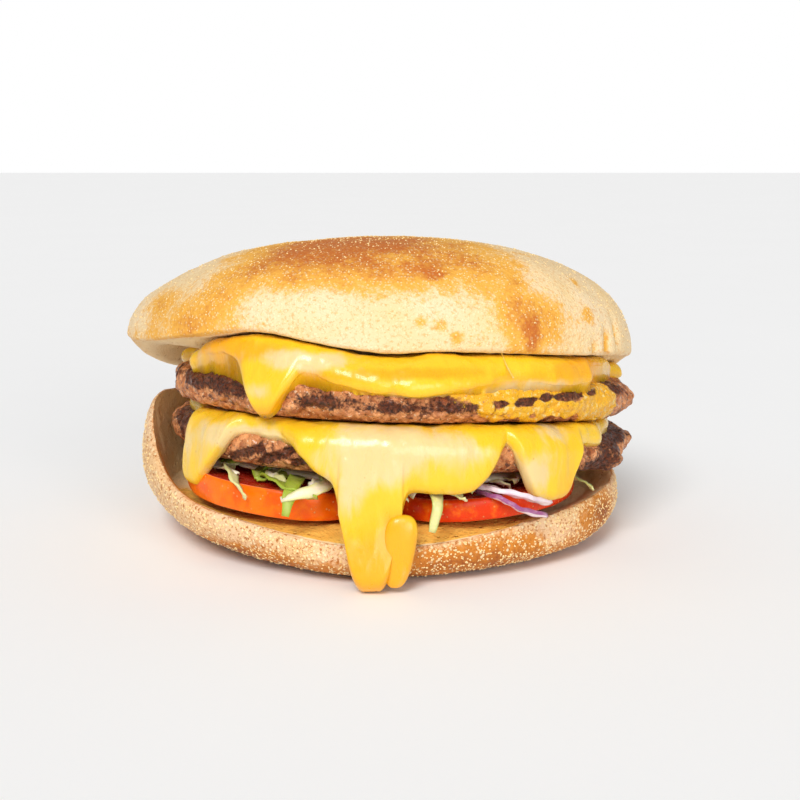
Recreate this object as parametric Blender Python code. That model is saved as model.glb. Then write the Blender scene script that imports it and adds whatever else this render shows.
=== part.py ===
"""A double cheeseburger in a flat roll, built layer by layer from the table up.

The layers are first laid out as a neat, level stack: a point has an azimuth, a radius and a height.
The finished stack fans open towards its front and leans a little to its right, as a burger does when
its fillings are pushed forward, and settle() carries every point from the neat stack to the real one.
Azimuths are in degrees, counted from +X (the right) towards +Y (the back), so the front is at 270.
"""

import math

import bmesh
import bpy
from mathutils import Vector, noise

MM = 0.001

# Driving dimensions
STACK_HEIGHT = 74.6 * MM
PATTY_THICKNESS = 8.6 * MM
CHEESE_THICKNESS = 2.3 * MM
GAP = 0.4 * MM

# The fan: how much the stack rises for each metre towards the front, and towards the left
FAN_FORWARD = 2.2
FAN_LEFT = 0.9

# Heights in the neat stack
HEEL_HEIGHT = 11.2 * MM
TOMATO_BOTTOM = HEEL_HEIGHT + GAP
LOWER_PATTY_BOTTOM = 22.2 * MM
PRESSED_CHEESE = 1.7 * MM
PRESSED_SHARE = 0.9
LOWER_CHEESE_BOTTOM = LOWER_PATTY_BOTTOM + PATTY_THICKNESS + GAP
UPPER_PATTY_BOTTOM = LOWER_CHEESE_BOTTOM + PRESSED_CHEESE + GAP
UPPER_CHEESE_BOTTOM = UPPER_PATTY_BOTTOM + PATTY_THICKNESS + GAP
CROWN_SEAT = UPPER_CHEESE_BOTTOM + CHEESE_THICKNESS + GAP

# The right edge of the fillings sags: by how much, round which azimuth and over how wide a sector
SAG = 3.4 * MM
SAG_AZIMUTH = 348
SAG_SECTOR = 48

# Outlines: radii in mm at every 30 degrees, from the right round by the back, the left and the front
CROWN_OUTLINE = (64.4, 64.2, 60.2, 58.2, 60.0, 64.4, 64.4, 60.4, 56.0, 54.4, 56.4, 61.4)
HEEL_OUTLINE = (61.8, 60.2, 58.2, 57.4, 58.0, 60.4, 61.6, 59.6, 57.6, 57.4, 57.8, 60.6)
UPPER_PATTY_OUTLINE = (64.4, 61.4, 57.4, 55.6, 54.2, 52.6, 52.6, 54.6, 57.0, 57.8, 58.8, 61.8)
LOWER_PATTY_OUTLINE = (64.0, 60.6, 57.0, 54.6, 53.4, 53.4, 54.0, 53.8, 56.0, 57.2, 58.6, 61.4)

# Heights in mm of the crown's rim, at every 15 degrees, and of the heel's rim, at every 30
CROWN_RIM = (46.4, 42.8, 42.2, 42.8, 43.0, 42.6, 42.2, 41.6, 40.6, 38.6, 37.0, 40.6,
             46.0, 46.4, 47.6, 49.0, 50.6, 48.9, 47.6, 48.3, 48.4, 48.3, 48.1, 47.6)
HEEL_RIM = (18.6, 20.5, 21.5, 22.5, 26.0, 31.4, 31.0, 15.8, 11.0, 8.2, 10.6, 14.4)


def ease(value, low, high):
    """0 at low, 1 at high, with a soft start and end."""
    share = min(1.0, max(0.0, (value - low) / (high - low)))
    return share * share * (3 - 2 * share)


def around(stations, azimuth):
    """The value at an azimuth, on a smooth closed curve through evenly spaced stations."""
    place = (azimuth % 360) / 360 * len(stations)
    index = int(place)
    share = place - index
    a, b, c, d = (stations[(index + k) % len(stations)] for k in (-1, 0, 1, 2))
    bend = 2 * a - 5 * b + 4 * c - d
    turn = 3 * (b - c) + d - a
    return 0.5 * (2 * b + share * (c - a + share * (bend + share * turn)))


def sag(point):
    """How far a point of the neat stack has sunk: most at the lower patty's right edge, none in the roll."""
    x, y, height = point
    away = abs((math.degrees(math.atan2(y, x)) - SAG_AZIMUTH + 180) % 360 - 180)
    out = math.hypot(x, y) / (57 * MM) * ease(SAG_SECTOR - away, 0, SAG_SECTOR)
    above = 1 - 0.65 * ease(height, 29 * MM, 36 * MM) - 0.35 * ease(height, 37 * MM, 47 * MM)
    return SAG * out * ease(height, 12 * MM, 22 * MM) * above


def settle(point):
    """A point of the neat stack, carried to where it is in the real one."""
    x, y, height = point
    return Vector((x, y, (height - sag(point)) * (1 - FAN_FORWARD * y - FAN_LEFT * x)))


def lumps(point, size, seed):
    """Smooth noise from -1 to 1, with lumps of about the given size."""
    return noise.noise(Vector(point) / size + Vector((seed, 7.3 * seed, 3.1 * seed)))


def material(name, color, roughness):
    made = bpy.data.materials.new(name)
    made.use_nodes = True
    shader = made.node_tree.nodes["Principled BSDF"]
    shader.inputs["Base Color"].default_value = (*color, 1)
    shader.inputs["Roughness"].default_value = roughness
    return made


CRUST = material("crust", (0.80, 0.56, 0.28), 0.75)
BEEF = material("beef", (0.16, 0.075, 0.045), 0.45)
CHEESE = material("cheese", (0.93, 0.66, 0.10), 0.32)
TOMATO = material("tomato", (0.70, 0.10, 0.03), 0.25)
LETTUCE = material("lettuce", (0.62, 0.70, 0.30), 0.40)
ONION = material("onion", (0.72, 0.52, 0.62), 0.35)


def add_object(name, mesh_builder, surface):
    """Turns a bmesh into a named object with one material, shaded smooth."""
    bmesh.ops.recalc_face_normals(mesh_builder, faces=mesh_builder.faces)
    mesh = bpy.data.meshes.new(name)
    mesh_builder.to_mesh(mesh)
    mesh_builder.free()
    mesh.shade_smooth()
    mesh.materials.append(surface)
    made = bpy.data.objects.new(name, mesh)
    bpy.context.scene.collection.objects.link(made)
    return made


def turned(name, segments, rings, shape, surface, crowd=0.0):
    """A closed solid from a sphere's net: shape(azimuth, travel) gives the point of the neat stack.

    travel runs from 0 at the top pole, over the rim at 0.5, to 1 at the bottom pole. crowd from 0 to 1
    draws the segments together at the front, where the detail is.
    """
    net = bmesh.new()
    bmesh.ops.create_uvsphere(net, u_segments=segments, v_segments=rings, radius=1)
    for vertex in net.verts:
        x, y, z = vertex.co
        from_front = math.atan2(x, -y)
        azimuth = math.degrees(from_front - crowd * math.sin(from_front)) - 90
        travel = math.acos(max(-1.0, min(1.0, z))) / math.pi
        vertex.co = settle(shape(azimuth % 360, travel))
    return add_object(name, net, surface)


def polar(azimuth, radius, height):
    angle = math.radians(azimuth)
    return Vector((radius * math.cos(angle), radius * math.sin(angle), height))


# The heel, the roll's lower half, pressed into a shallow bowl that stands up on its left

HEEL_SEAT = 0.80
SEAT_SHARE = 4 / 9

# At every 30 degrees: the flat base's share of the outline, and how high up the crust is widest
HEEL_FLOOR = (0.76, 0.74, 0.74, 0.74, 0.74, 0.72, 0.70, 0.60, 0.67, 0.76, 0.74, 0.76)
HEEL_WIDE = (0.55, 0.52, 0.5, 0.5, 0.5, 0.52, 0.58, 0.9, 0.8, 0.6, 0.55, 0.52)


def heel_edge(azimuth):
    """Radius and height of the rim where the crust meets the cut face."""
    rim = around(HEEL_RIM, azimuth)
    return around(HEEL_OUTLINE, azimuth) * (1.004 - 0.0018 * rim) * MM, rim * MM


def heel_corner(azimuth):
    """Radius at which the level cut face starts to climb to the rim."""
    rim = around(HEEL_RIM, azimuth)
    share = max(HEEL_SEAT, 0.885 - 0.0009 * abs(rim - 33))
    return share * around(HEEL_OUTLINE, azimuth) * MM


def heel_shape(azimuth, travel):
    """The cut face runs out and up to the rim, and the crust bulges out and back in to the flat base."""
    outline = around(HEEL_OUTLINE, azimuth) * MM
    edge_radius, edge_height = heel_edge(azimuth)
    if travel <= 0.5:
        share = travel / 0.5
        corner = heel_corner(azimuth)
        if share < SEAT_SHARE:
            radius = corner * share / SEAT_SHARE
            height = HEEL_HEIGHT
        else:
            climb = (share - SEAT_SHARE) / (1 - SEAT_SHARE)
            radius = corner + (edge_radius - corner) * climb
            height = HEEL_HEIGHT + (edge_height - HEEL_HEIGHT) * climb ** 1.25
        return polar(azimuth, radius, height)
    share = (travel - 0.5) / 0.5
    wide = around(HEEL_WIDE, azimuth) * edge_height
    floor = around(HEEL_FLOOR, azimuth) * outline
    if share < 0.3:
        sweep = share / 0.3 * math.pi / 2
        radius = edge_radius + (outline - edge_radius) * math.sin(sweep)
        height = wide + (edge_height - wide) * math.cos(sweep)
    elif share < 0.7:
        sweep = (share - 0.3) / 0.4 * math.pi / 2
        radius = floor + (outline - floor) * math.cos(sweep)
        height = wide * (1 - math.sin(sweep))
    else:
        radius = floor * (1 - share) / 0.3
        height = 0.0
    point = polar(azimuth, radius, height)
    if 0 < share < 0.68:
        out = polar(azimuth, 1, 0)
        point += out * 0.6 * MM * lumps(point, 18 * MM, 3.0)
    return point


def add_heel():
    return turned("roll_heel", 50, 18, heel_shape, CRUST)


# The crown, the roll's domed upper half, with its rim hanging lower behind

LIP_INSET = 0.975

def crown_dome(azimuth, share):
    """A superellipse arch from the top of the dome to the rim, fuller on the right."""
    fullness = 2.25 + 0.11 * math.cos(math.radians(azimuth))
    sweep = share * math.pi / 2
    return math.sin(sweep) ** (2 / fullness), math.cos(sweep) ** (2 / fullness)


def crown_underside(azimuth, radius):
    """Height of the underside: level over the layers, and turned up or down to the rim.

    At the front it turns up well inside the rim, where the upper cheese swells out from under it.
    """
    outline = around(CROWN_OUTLINE, azimuth) * MM
    rim = around(CROWN_RIM, azimuth) * MM
    clear = around(UPPER_PATTY_OUTLINE, azimuth) * MM + CHEESE_THICKNESS + GAP
    if rim > CROWN_SEAT:
        clear -= EDGE_ROUND * 1.5
    front = ease(azimuth, 206, 226) * ease(352 - azimuth, 0, 14)
    start = min(clear, outline * 0.93) * (1 - front) + outline * 0.62 * front
    end = outline * LIP_INSET * (1 - front) + outline * 0.86 * front
    return CROWN_SEAT + (rim - CROWN_SEAT) * ease(radius, start, end)


def swelling(azimuth, radius):
    """How much the upper cheese rises to meet the underside, sloping down from the crown's rim."""
    rise = crown_underside(azimuth, radius) - CROWN_SEAT
    outer = around(UPPER_PATTY_OUTLINE, azimuth) * MM + CHEESE_THICKNESS
    inner = min(around(CROWN_OUTLINE, azimuth) * MM * 0.95, outer - 4 * MM)
    return max(rise, 0.0) * (1 - ease(radius, inner, outer)) * ease(azimuth, 206, 222)


def crown_shape(azimuth, travel):
    outline = around(CROWN_OUTLINE, azimuth) * MM
    rim = around(CROWN_RIM, azimuth) * MM
    if travel <= 0.5:
        reach, lift = crown_dome(azimuth, (travel / 0.5) * 0.985)
        point = polar(azimuth, outline * reach, 0)
        top = STACK_HEIGHT * (1 + FAN_LEFT * point.x)
        point.z = rim + (top - rim) * lift
        swell = 0.9 * MM * lumps(point, 24 * MM, 1.0) * ease(reach, 0.1, 0.5)
        return point + polar(azimuth, swell, swell * 0.6)
    radius = outline * LIP_INSET * (1 - travel) / 0.5
    return polar(azimuth, radius, crown_underside(azimuth, radius))


def add_crown():
    return turned("roll_crown", 50, 18, crown_shape, CRUST)


# The patties: round-edged discs of minced beef with craggy rims

EDGE_ROUND = 8.5 * MM
EDGE_FULLNESS = 2.5
FACE_SHARE = 0.18


def patty_profile(share):
    """From the middle of the face (0) to the middle of the rim (1): how far out, and how far from level.

    The first value is the distance in from the rim as a share of EDGE_ROUND, or None on the flat face.
    """
    if share < FACE_SHARE:
        return None, 1.0
    sweep = (share - FACE_SHARE) / (1 - FACE_SHARE) * math.pi / 2
    return 1 - math.sin(sweep) ** (2 / EDGE_FULLNESS), math.cos(sweep) ** (2 / EDGE_FULLNESS)


class Knob:
    """A lump that stands out of a patty's side: azimuth, height over the middle, reach and size, in mm."""

    def __init__(self, azimuth, height, reach, size):
        self.azimuth = azimuth
        self.height = height * MM
        self.reach = reach * MM
        self.size = size * MM

    def push(self, azimuth, radius, height):
        away = math.radians((azimuth - self.azimuth + 180) % 360 - 180) * radius
        return self.reach * math.exp(-(away ** 2 + (height - self.height) ** 2) / self.size ** 2)


LOWER_KNOBS = (Knob(2, 0.3, 3.0, 4.6), Knob(338, -1.6, 3.0, 4.6), Knob(347, 1.0, -2.4, 2.6))
UPPER_KNOBS = (Knob(352, 0.3, 1.4, 4.6),)


def patty_shape(outline, bottom, knobs, seed):
    middle = bottom + PATTY_THICKNESS / 2

    def shape(azimuth, travel):
        above = travel <= 0.5
        share = travel / 0.5 if above else (1 - travel) / 0.5
        inset, level = patty_profile(share)
        rim = around(outline, azimuth) * MM
        face = rim - EDGE_ROUND
        radius = face * share / FACE_SHARE if inset is None else rim - EDGE_ROUND * inset
        height = middle + (1 if above else -1) * level * PATTY_THICKNESS / 2
        point = polar(azimuth, radius, height)
        side = ease(radius, face, rim)
        crag = 1.2 * MM * lumps(point, 9 * MM, seed) + 0.8 * MM * lumps(point, 4 * MM, seed + 2)
        crag = min(0.1 * MM, crag - 0.4 * MM)
        crag += sum(knob.push(azimuth, radius, height - middle) for knob in knobs)
        return point + polar(azimuth, crag * side, 0)

    return shape


def add_patty(name, outline, bottom, knobs, seed):
    return turned(name, 56, 15, patty_shape(outline, bottom, knobs, seed), BEEF)


# The cheese: slices melted over each patty's edge, hanging in lobes and drips

class Drip:
    """A tongue of melted cheese: its azimuth, half its width in degrees, how far down it reaches in mm
    below the slice's own edge, how square its end is, and how many degrees aside its end has run."""

    def __init__(self, azimuth, half_width, reach, square=2.0, lean=0.0):
        self.azimuth = azimuth
        self.half_width = half_width
        self.reach = reach * MM
        self.square = square
        self.lean = lean

    def drop(self, azimuth):
        away = abs((azimuth - self.azimuth + 180) % 360 - 180) / self.half_width
        return self.reach * math.exp(-(away ** (2 * self.square)) * 0.7)

    def aside(self, azimuth, below):
        """Degrees that a point has run aside, at a depth below the slice's level."""
        away = abs((azimuth - self.azimuth + 180) % 360 - 180) / self.half_width
        return self.lean * math.exp(-(away / 1.7) ** 2) * ease(below, 0, self.reach)


LOWER_DRIPS = (
    Drip(224, 6.4, 13.4, 1.7, -7.0),
    Drip(262, 9, 8.4, 1.4),
    Drip(277.5, 18, 10.4, 4.0),
    Drip(268.2, 6.6, 30.2, 1.8),
    Drip(310.2, 7.6, 12.6, 2.2),
    Drip(62, 8, 9),
    Drip(98, 11, 6.5),
)
UPPER_DRIPS = (
    Drip(243.8, 4.5, 7.4, 1.3),
    Drip(276, 18, 1.4),
    Drip(30, 10, 4.5),
    Drip(75, 8, 6.0),
    Drip(110, 9, 2.6),
    Drip(165, 8, 2.8),
)

# Where a slice stops short of the patty's edge: azimuth and half the width, in degrees
LOWER_BARE = ((174, 45), (352, 22))
UPPER_BARE = ((345, 20), (186, 28))
DRIP_TIP = 0.15 * MM
FRONT_CLEAR = 58.9 * MM
SUNK = 1.5 * MM
MERGE = 0.05 * MM


class Drape:
    """The line a slice follows at one azimuth: out over the patty, round its edge and straight down."""

    STEPS = 26

    def __init__(self, azimuth, outline, bottom, end):
        rim = around(outline, azimuth) * MM + GAP
        half = PATTY_THICKNESS / 2
        self.points = [(0.0, bottom)]
        for step in range(self.STEPS + 1):
            sweep = step / self.STEPS * math.pi / 2
            inset = 1 - math.sin(sweep) ** (2 / EDGE_FULLNESS)
            level = math.cos(sweep) ** (2 / EDGE_FULLNESS)
            self.points.append((rim - EDGE_ROUND * inset, bottom - half * (1 - level)))
        clear = max(rim, FRONT_CLEAR) if end < 15 * MM else rim
        self.points.append((clear, bottom - PATTY_THICKNESS - 2 * MM))
        self.points.append((clear, DRIP_TIP))
        self.trim(end)

    def trim(self, end):
        kept = [self.points[0]]
        for before, after in zip(self.points, self.points[1:]):
            if after[1] <= end < before[1]:
                share = (before[1] - end) / (before[1] - after[1])
                kept.append((before[0] + (after[0] - before[0]) * share, end))
                break
            kept.append(after)
        self.points = kept
        self.lengths = [0.0]
        for before, after in zip(kept, kept[1:]):
            self.lengths.append(self.lengths[-1] + math.dist(before, after))

    def at(self, distance):
        """The point at a distance along the line, and the direction out of the patty there."""
        for index in range(1, len(self.points)):
            if distance <= self.lengths[index] or index == len(self.points) - 1:
                before, after = self.points[index - 1], self.points[index]
                span = max(self.lengths[index] - self.lengths[index - 1], 1e-9)
                share = (distance - self.lengths[index - 1]) / span
                along = ((after[0] - before[0]) / span, (after[1] - before[1]) / span)
                place = (before[0] + (after[0] - before[0]) * share,
                         before[1] + (after[1] - before[1]) * share)
                return place, (-along[1], along[0])
        return self.points[0], (0.0, 1.0)


def spread(share, flat, total, flat_share):
    """Distance along a drape: a share of it on the flat, the rest closer towards the shoulder and the end."""
    if share < flat_share:
        return flat * share / flat_share
    part = (share - flat_share) / (1 - flat_share)
    power = 1 + 1.2 * ease(total - flat, 8 * MM, 40 * MM)
    return flat + (total - flat) * math.sin(part ** power * math.pi / 2)


def cheese_shape(outline, bottom, pressed, drips, bare, seed, flat_share, swell):
    """Shape of a melted slice: pressed is its thickness where the layer above lies on it.

    Its inner side is first sunk into the patty, and press_into() then cuts it back to the patty's form.
    swell says how much its top rises at an azimuth and radius, or is None.
    """
    drapes = {}

    def shape(azimuth, travel):
        if azimuth not in drapes:
            fall = 1.3 * MM + 0.9 * MM * lumps(polar(azimuth, 0.03, 0), 12 * MM, seed)
            for middle, half_width in bare:
                away = abs((azimuth - middle + 180) % 360 - 180)
                fall *= ease(away, half_width * 0.75, half_width)
            edge = bottom - 0.15 * MM - fall
            end = edge - sum(drip.drop(azimuth) ** 4 for drip in drips) ** 0.25
            drapes[azimuth] = Drape(azimuth, outline, bottom, max(end, DRIP_TIP))
        drape = drapes[azimuth]
        total = drape.lengths[-1]
        outer = travel <= 0.5
        share = travel / 0.5 if outer else (1 - travel) / 0.5
        flat = around(outline, azimuth) * MM - EDGE_ROUND
        distance = spread(share, flat, total, flat_share)
        (radius, height), (out, up) = drape.at(distance)
        if not outer:
            sunk = SUNK * ease(height, bottom - PATTY_THICKNESS, bottom - PATTY_THICKNESS / 2)
            radius -= out * sunk
            height -= up * sunk
        else:
            hang = ease(distance, flat, flat + 7 * MM)
            heavy = 3.2 * MM * ease(-height, -15 * MM, -3 * MM)
            thick = pressed * PRESSED_SHARE
            thick += (CHEESE_THICKNESS + 0.3 * MM - thick) * hang + heavy
            left = max(total - distance, 0.0)
            bead = thick / 2 + 1.2 * MM
            if left < bead:
                thick *= math.sqrt(max(0.0, 1 - (1 - left / bead) ** 2))
            radius += out * thick
            height += up * thick
            if swell:
                height += swell(azimuth, radius)
        aside = sum(drip.aside(azimuth, bottom - height) for drip in drips if drip.lean)
        return polar(azimuth + aside, radius, max(height, DRIP_TIP if distance > flat else height))

    return shape


def add_cheese(name, outline, bottom, pressed, drips, bare, seed, segments, rings, crowd,
               flat_share=0.1, swell=None):
    shape = cheese_shape(outline, bottom, pressed, drips, bare, seed, flat_share, swell)
    return turned(name, segments, rings, shape, CHEESE, crowd)


def keep_largest_body(mesh):
    """Merges a Boolean's slivers, and drops its scraps and the walls of sealed hollows."""
    net = bmesh.new()
    net.from_mesh(mesh)
    bmesh.ops.remove_doubles(net, verts=net.verts, dist=MERGE)
    bmesh.ops.dissolve_degenerate(net, edges=net.edges, dist=MERGE / 5)
    bmesh.ops.triangulate(net, faces=net.faces)
    bodies = []
    unseen = set(net.faces)
    while unseen:
        waiting = [unseen.pop()]
        body = set(waiting)
        while waiting:
            face = waiting.pop()
            found = {other for edge in face.edges for other in edge.link_faces} - body
            body |= found
            waiting.extend(found)
        unseen -= body
        bodies.append(body)
    bodies.sort(key=len)
    for body in bodies[:-1]:
        bmesh.ops.delete(net, geom=list(body), context="FACES")
    net.to_mesh(mesh)
    net.free()


def combine(base, others, operation):
    """Applies one Boolean of the others to the base, and removes them."""
    group = bpy.data.collections.new(base.name + "_operands")
    for other in others:
        bpy.context.scene.collection.objects.unlink(other)
        group.objects.link(other)
    bpy.context.scene.collection.children.link(group)
    tool = base.modifiers.new("combine", "BOOLEAN")
    tool.operation = operation
    tool.operand_type = "COLLECTION"
    tool.collection = group
    tool.solver = "EXACT"
    bpy.context.view_layer.update()
    graph = bpy.context.evaluated_depsgraph_get()
    mesh = bpy.data.meshes.new_from_object(base.evaluated_get(graph))
    surface = base.data.materials[0]
    base.modifiers.clear()
    base.data = mesh
    keep_largest_body(mesh)
    mesh.materials.clear()
    mesh.materials.append(surface)
    for other in others:
        bpy.data.objects.remove(other)
    bpy.data.collections.remove(group)


def press_into(target, neighbours):
    """Cuts the target back from its neighbours, so that it follows each of them at one gap."""
    grown = []
    for neighbour in neighbours:
        net = bmesh.new()
        net.from_mesh(neighbour.data)
        net.normal_update()
        for vertex in net.verts:
            vertex.co += vertex.normal * GAP
        grown.append(add_object(neighbour.name + "_grown", net, neighbour.data.materials[0]))
    combine(target, grown, "DIFFERENCE")


def add_lower_cheese(neighbours):
    """The lower slice, with the fold that hangs beside its long drip."""
    sheet = add_cheese("cheese_lower", LOWER_PATTY_OUTLINE, LOWER_CHEESE_BOTTOM, PRESSED_CHEESE,
                       LOWER_DRIPS, LOWER_BARE, 5.0, 66, 20, 0.62)
    fold = bmesh.new()
    bmesh.ops.create_uvsphere(fold, u_segments=12, v_segments=8, radius=1)
    middle = Vector((4.3, -60.8, 8.6)) * MM
    size = Vector((4.3, 2.3, 7.4)) * MM
    for vertex in fold.verts:
        x, y, z = (math.copysign(abs(value) ** 0.72, value) for value in vertex.co)
        x = x * (0.84 + 0.16 * z) + 0.2 * z
        vertex.co = settle(middle + Vector((x * size.x, y * size.y, z * size.z)))
    combine(sheet, [add_object("cheese_fold", fold, CHEESE)], "UNION")
    press_into(sheet, neighbours)


def add_upper_cheese(neighbours):
    """The upper slice, which swells out at the front from under the crown."""
    sheet = add_cheese("cheese_upper", UPPER_PATTY_OUTLINE, UPPER_CHEESE_BOTTOM, CHEESE_THICKNESS,
                       UPPER_DRIPS, UPPER_BARE, 8.0, 52, 18, 0.5, 0.34, swelling)
    press_into(sheet, neighbours)


# Tomato: three oval slices laid on the heel, two in front and one behind

class Slice:
    """An oval slice: middle, half sizes and thickness in mm, and how steeply it rises from the middle line."""

    def __init__(self, middle, half_sizes, thickness, tilt):
        self.middle = Vector((*middle, 0)) * MM
        self.half_sizes = Vector((*half_sizes, thickness / 2)) * MM
        self.tilt = tilt

    def shape(self, azimuth, travel):
        above = travel <= 0.5
        share = travel / 0.5 if above else (1 - travel) / 0.5
        angle = math.radians(azimuth)
        if share < 0.5:
            reach, level = share / 0.5 * 0.94, 1.0
        else:
            sweep = (share - 0.5) / 0.5 * math.pi / 2
            reach, level = 0.94 + 0.06 * math.sin(sweep), math.cos(sweep) ** 0.8
        x = rounded(math.cos(angle)) * self.half_sizes.x * reach + self.middle.x
        y = rounded(math.sin(angle)) * self.half_sizes.y * reach + self.middle.y
        inward = (1 + (math.hypot(x, y) / BED_LIMIT) ** 8) ** -0.125
        half = self.half_sizes.z
        height = TOMATO_BOTTOM + half + (half if above else -half) * level
        return Vector((x * inward, y * inward, height + self.tilt * abs(x)))


SLICE_FULLNESS = 2.3
BED_LIMIT = 60.5 * MM
TOMATO_SLICES = {
    "tomato_left": Slice((-25.2, -24.0), (24.8, 33.0), 5.9, 0.05),
    "tomato_right": Slice((25.6, -24.0), (25.2, 33.0), 4.9, 0.05),
    "tomato_back": Slice((0.0, 29.6), (30.0, 18.6), 5.2, 0.0),
}


def rounded(value):
    return math.copysign(abs(value) ** (2 / SLICE_FULLNESS), value)


def add_tomatoes():
    return [turned(name, 32, 6, cut.shape, TOMATO) for name, cut in TOMATO_SLICES.items()]


def smooth_route(points, count):
    """Evenly numbered points on a smooth curve through the given ones."""
    ends = [2 * points[0] - points[1], *points, 2 * points[-1] - points[-2]]
    found = []
    for step in range(count):
        place = step / (count - 1) * (len(points) - 1)
        index = min(int(place), len(points) - 2)
        share = place - index
        a, b, c, d = ends[index : index + 4]
        bend = 2 * a - 5 * b + 4 * c - d
        turn = 3 * (b - c) + d - a
        found.append(0.5 * (2 * b + share * (c - a + share * (bend + share * turn))))
    return found


def carried_sides(path):
    """A level direction across the start of a path, carried along it without twisting."""
    side = (path[1] - path[0]).cross(Vector((0, 0, 1))).normalized()
    frames = []
    for index in range(len(path)):
        ahead = path[min(index + 1, len(path) - 1)] - path[max(index - 1, 0)]
        along = ahead.normalized()
        side = (side - along * side.dot(along)).normalized()
        frames.append((along, side))
    return frames


def strip(name, route, width, thickness, twist, surface, steps=7, ripple=0.0):
    """A thin shred along a route of points of the neat stack in mm. twist turns it from flat, in degrees."""
    path = smooth_route([Vector(point) * MM for point in route], steps + 1)
    frames = carried_sides(path)
    net = bmesh.new()
    bmesh.ops.create_grid(net, x_segments=steps, y_segments=1, size=0.5)
    bmesh.ops.solidify(net, geom=net.faces[:], thickness=1)
    low = min(vertex.co.z for vertex in net.verts)
    for vertex in net.verts:
        share = vertex.co.x + 0.5
        index = round(share * steps)
        along, side = frames[index]
        angle = math.radians(twist[0] + (twist[1] - twist[0]) * share)
        across = side * math.cos(angle) + side.cross(along) * math.sin(angle)
        normal = across.cross(along)
        taper = 0.45 + 0.55 * math.sin(math.pi * min(1.0, max(0.0, share)) ** 0.8)
        wave = ripple * MM * math.sin(share * 11)
        layer = (vertex.co.z - low - 0.5) * thickness * MM
        across_reach = vertex.co.y * width * taper * MM
        vertex.co = settle(path[index] + across * across_reach + normal * (layer + wave))
    return add_object(name, net, surface)


# Lettuce: a loose bed of shreds between the tomato and the lower patty

LETTUCE_RADIUS = (50.5, 49.5, 48.5, 47.0, 46.0, 45.0, 45.0, 46.5, 48.5, 49.5, 50.5, 51.5)

# Each shred: points of its route, width in mm and how far it is turned from flat at either end. The
# height of a point is in mm over the middle of the bed.
SHREDS = (
    ([(-34, -26, 0), (-36, -33, 0), (-34, -45.5, 0), (-30.5, -51.0, -3.4)], 3.0, (0, 55)),
    ([(-29, -34, 0), (-26, -44, 0), (-21, -54.5, -0.2), (-14, -57.2, -2.0)], 3.2, (0, 35)),
    ([(-19, -36, 0), (-19, -47, 0.2), (-20, -56.8, -0.6), (-21, -58.8, -5.4)], 3.6, (0, 20)),
    ([(-12, -36, 0), (-11, -46, 0.2), (-14, -56.2, -0.2), (-22, -58.4, -2.2)], 3.0, (10, 50)),
    ([(8, -36, 0), (10, -46, 0.0), (13.0, -57.0, -1.1), (11.6, -59.4, -7.4)], 3.2, (0, 15)),
    ([(5, -34, 0), (4.4, -45, 0.2), (3.4, -52.0, -0.2), (6.4, -55.6, -1.2)], 3.0, (10, 30)),
    ([(18, -32, 0), (18.5, -43, 0), (17, -52.5, -0.3), (19.4, -55.8, -1.6)], 3.0, (0, 25)),
    ([(38, -18, 0), (44, -26, 0), (49.5, -31, -0.8), (51.0, -34, -2.6)], 3.0, (10, 40)),
    ([(-38, -12, 0), (-42, -20, 0), (-39.5, -32, 0), (-33, -43.5, 0)], 2.6, (0, 0)),
    ([(38, 10, 0), (45, 14, 0), (51, 15, 0), (55, 18.5, 0)], 3.2, (0, 20)),
    ([(22, 30, 0), (25, 38, 0), (29, 42.5, 0), (27, 46, 0.3)], 3.2, (0, 20)),
    ([(-2, 32, 0), (-4, 41, 0), (-8, 48, 0.2), (-16, 47.5, 0.3)], 3.0, (0, 20)),
)


def lettuce_bottom(x):
    """Height of the bed's underside, which follows the tops of the tomato slices."""
    left, right = TOMATO_SLICES["tomato_left"], TOMATO_SLICES["tomato_right"]
    side = ease(x, -2 * MM, 2 * MM)
    top = 2 * (left.half_sizes.z * (1 - side) + right.half_sizes.z * side)
    tilt = left.tilt * (1 - side) + right.tilt * side
    return TOMATO_BOTTOM + top + tilt * abs(x) + GAP


def lettuce_middle(x):
    return (lettuce_bottom(x) + LOWER_PATTY_BOTTOM - GAP) / 2


def lettuce_shape(azimuth, travel):
    above = travel <= 0.5
    share = travel / 0.5 if above else (1 - travel) / 0.5
    sweep = share * math.pi / 2
    ragged = 1 + 0.035 * lumps(polar(azimuth, 1, 0), 0.22, 9.0)
    radius = around(LETTUCE_RADIUS, azimuth) * MM * math.sin(sweep) * ragged
    point = polar(azimuth, radius, 0)
    high = LOWER_PATTY_BOTTOM - GAP
    half = (high - lettuce_bottom(point.x)) / 2
    point.z = high - half + (half if above else -half) * math.cos(sweep) ** 0.6
    return point


def add_lettuce():
    bed = turned("lettuce_shreds", 32, 6, lettuce_shape, LETTUCE)
    shreds = []
    for number, (route, width, twist) in enumerate(SHREDS):
        placed = [(x, y, z + lettuce_middle(x * MM) / MM) for x, y, z in route]
        shreds.append(strip(f"shred_{number}", placed, width, 0.8, twist, LETTUCE, ripple=0.25))
    combine(bed, shreds, "UNION")


def add_onions():
    """Two strips of red onion, which come out over the right tomato's edge and hang down in front of it."""
    pale = [(21, -47.0, 20.1), (28, -52.2, 19.6), (34, -50.8, 18.0), (39.6, -46.0, 16.2)]
    purple = [(22, -46.4, 18.7), (27, -52.6, 18.2), (32, -52.2, 15.8), (38.6, -47.8, 13.4)]
    strip("onion_pale", pale, 2.6, 1.0, (0, 50), ONION, steps=8)
    strip("onion_purple", purple, 1.7, 0.9, (0, 70), ONION, steps=8)


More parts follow.
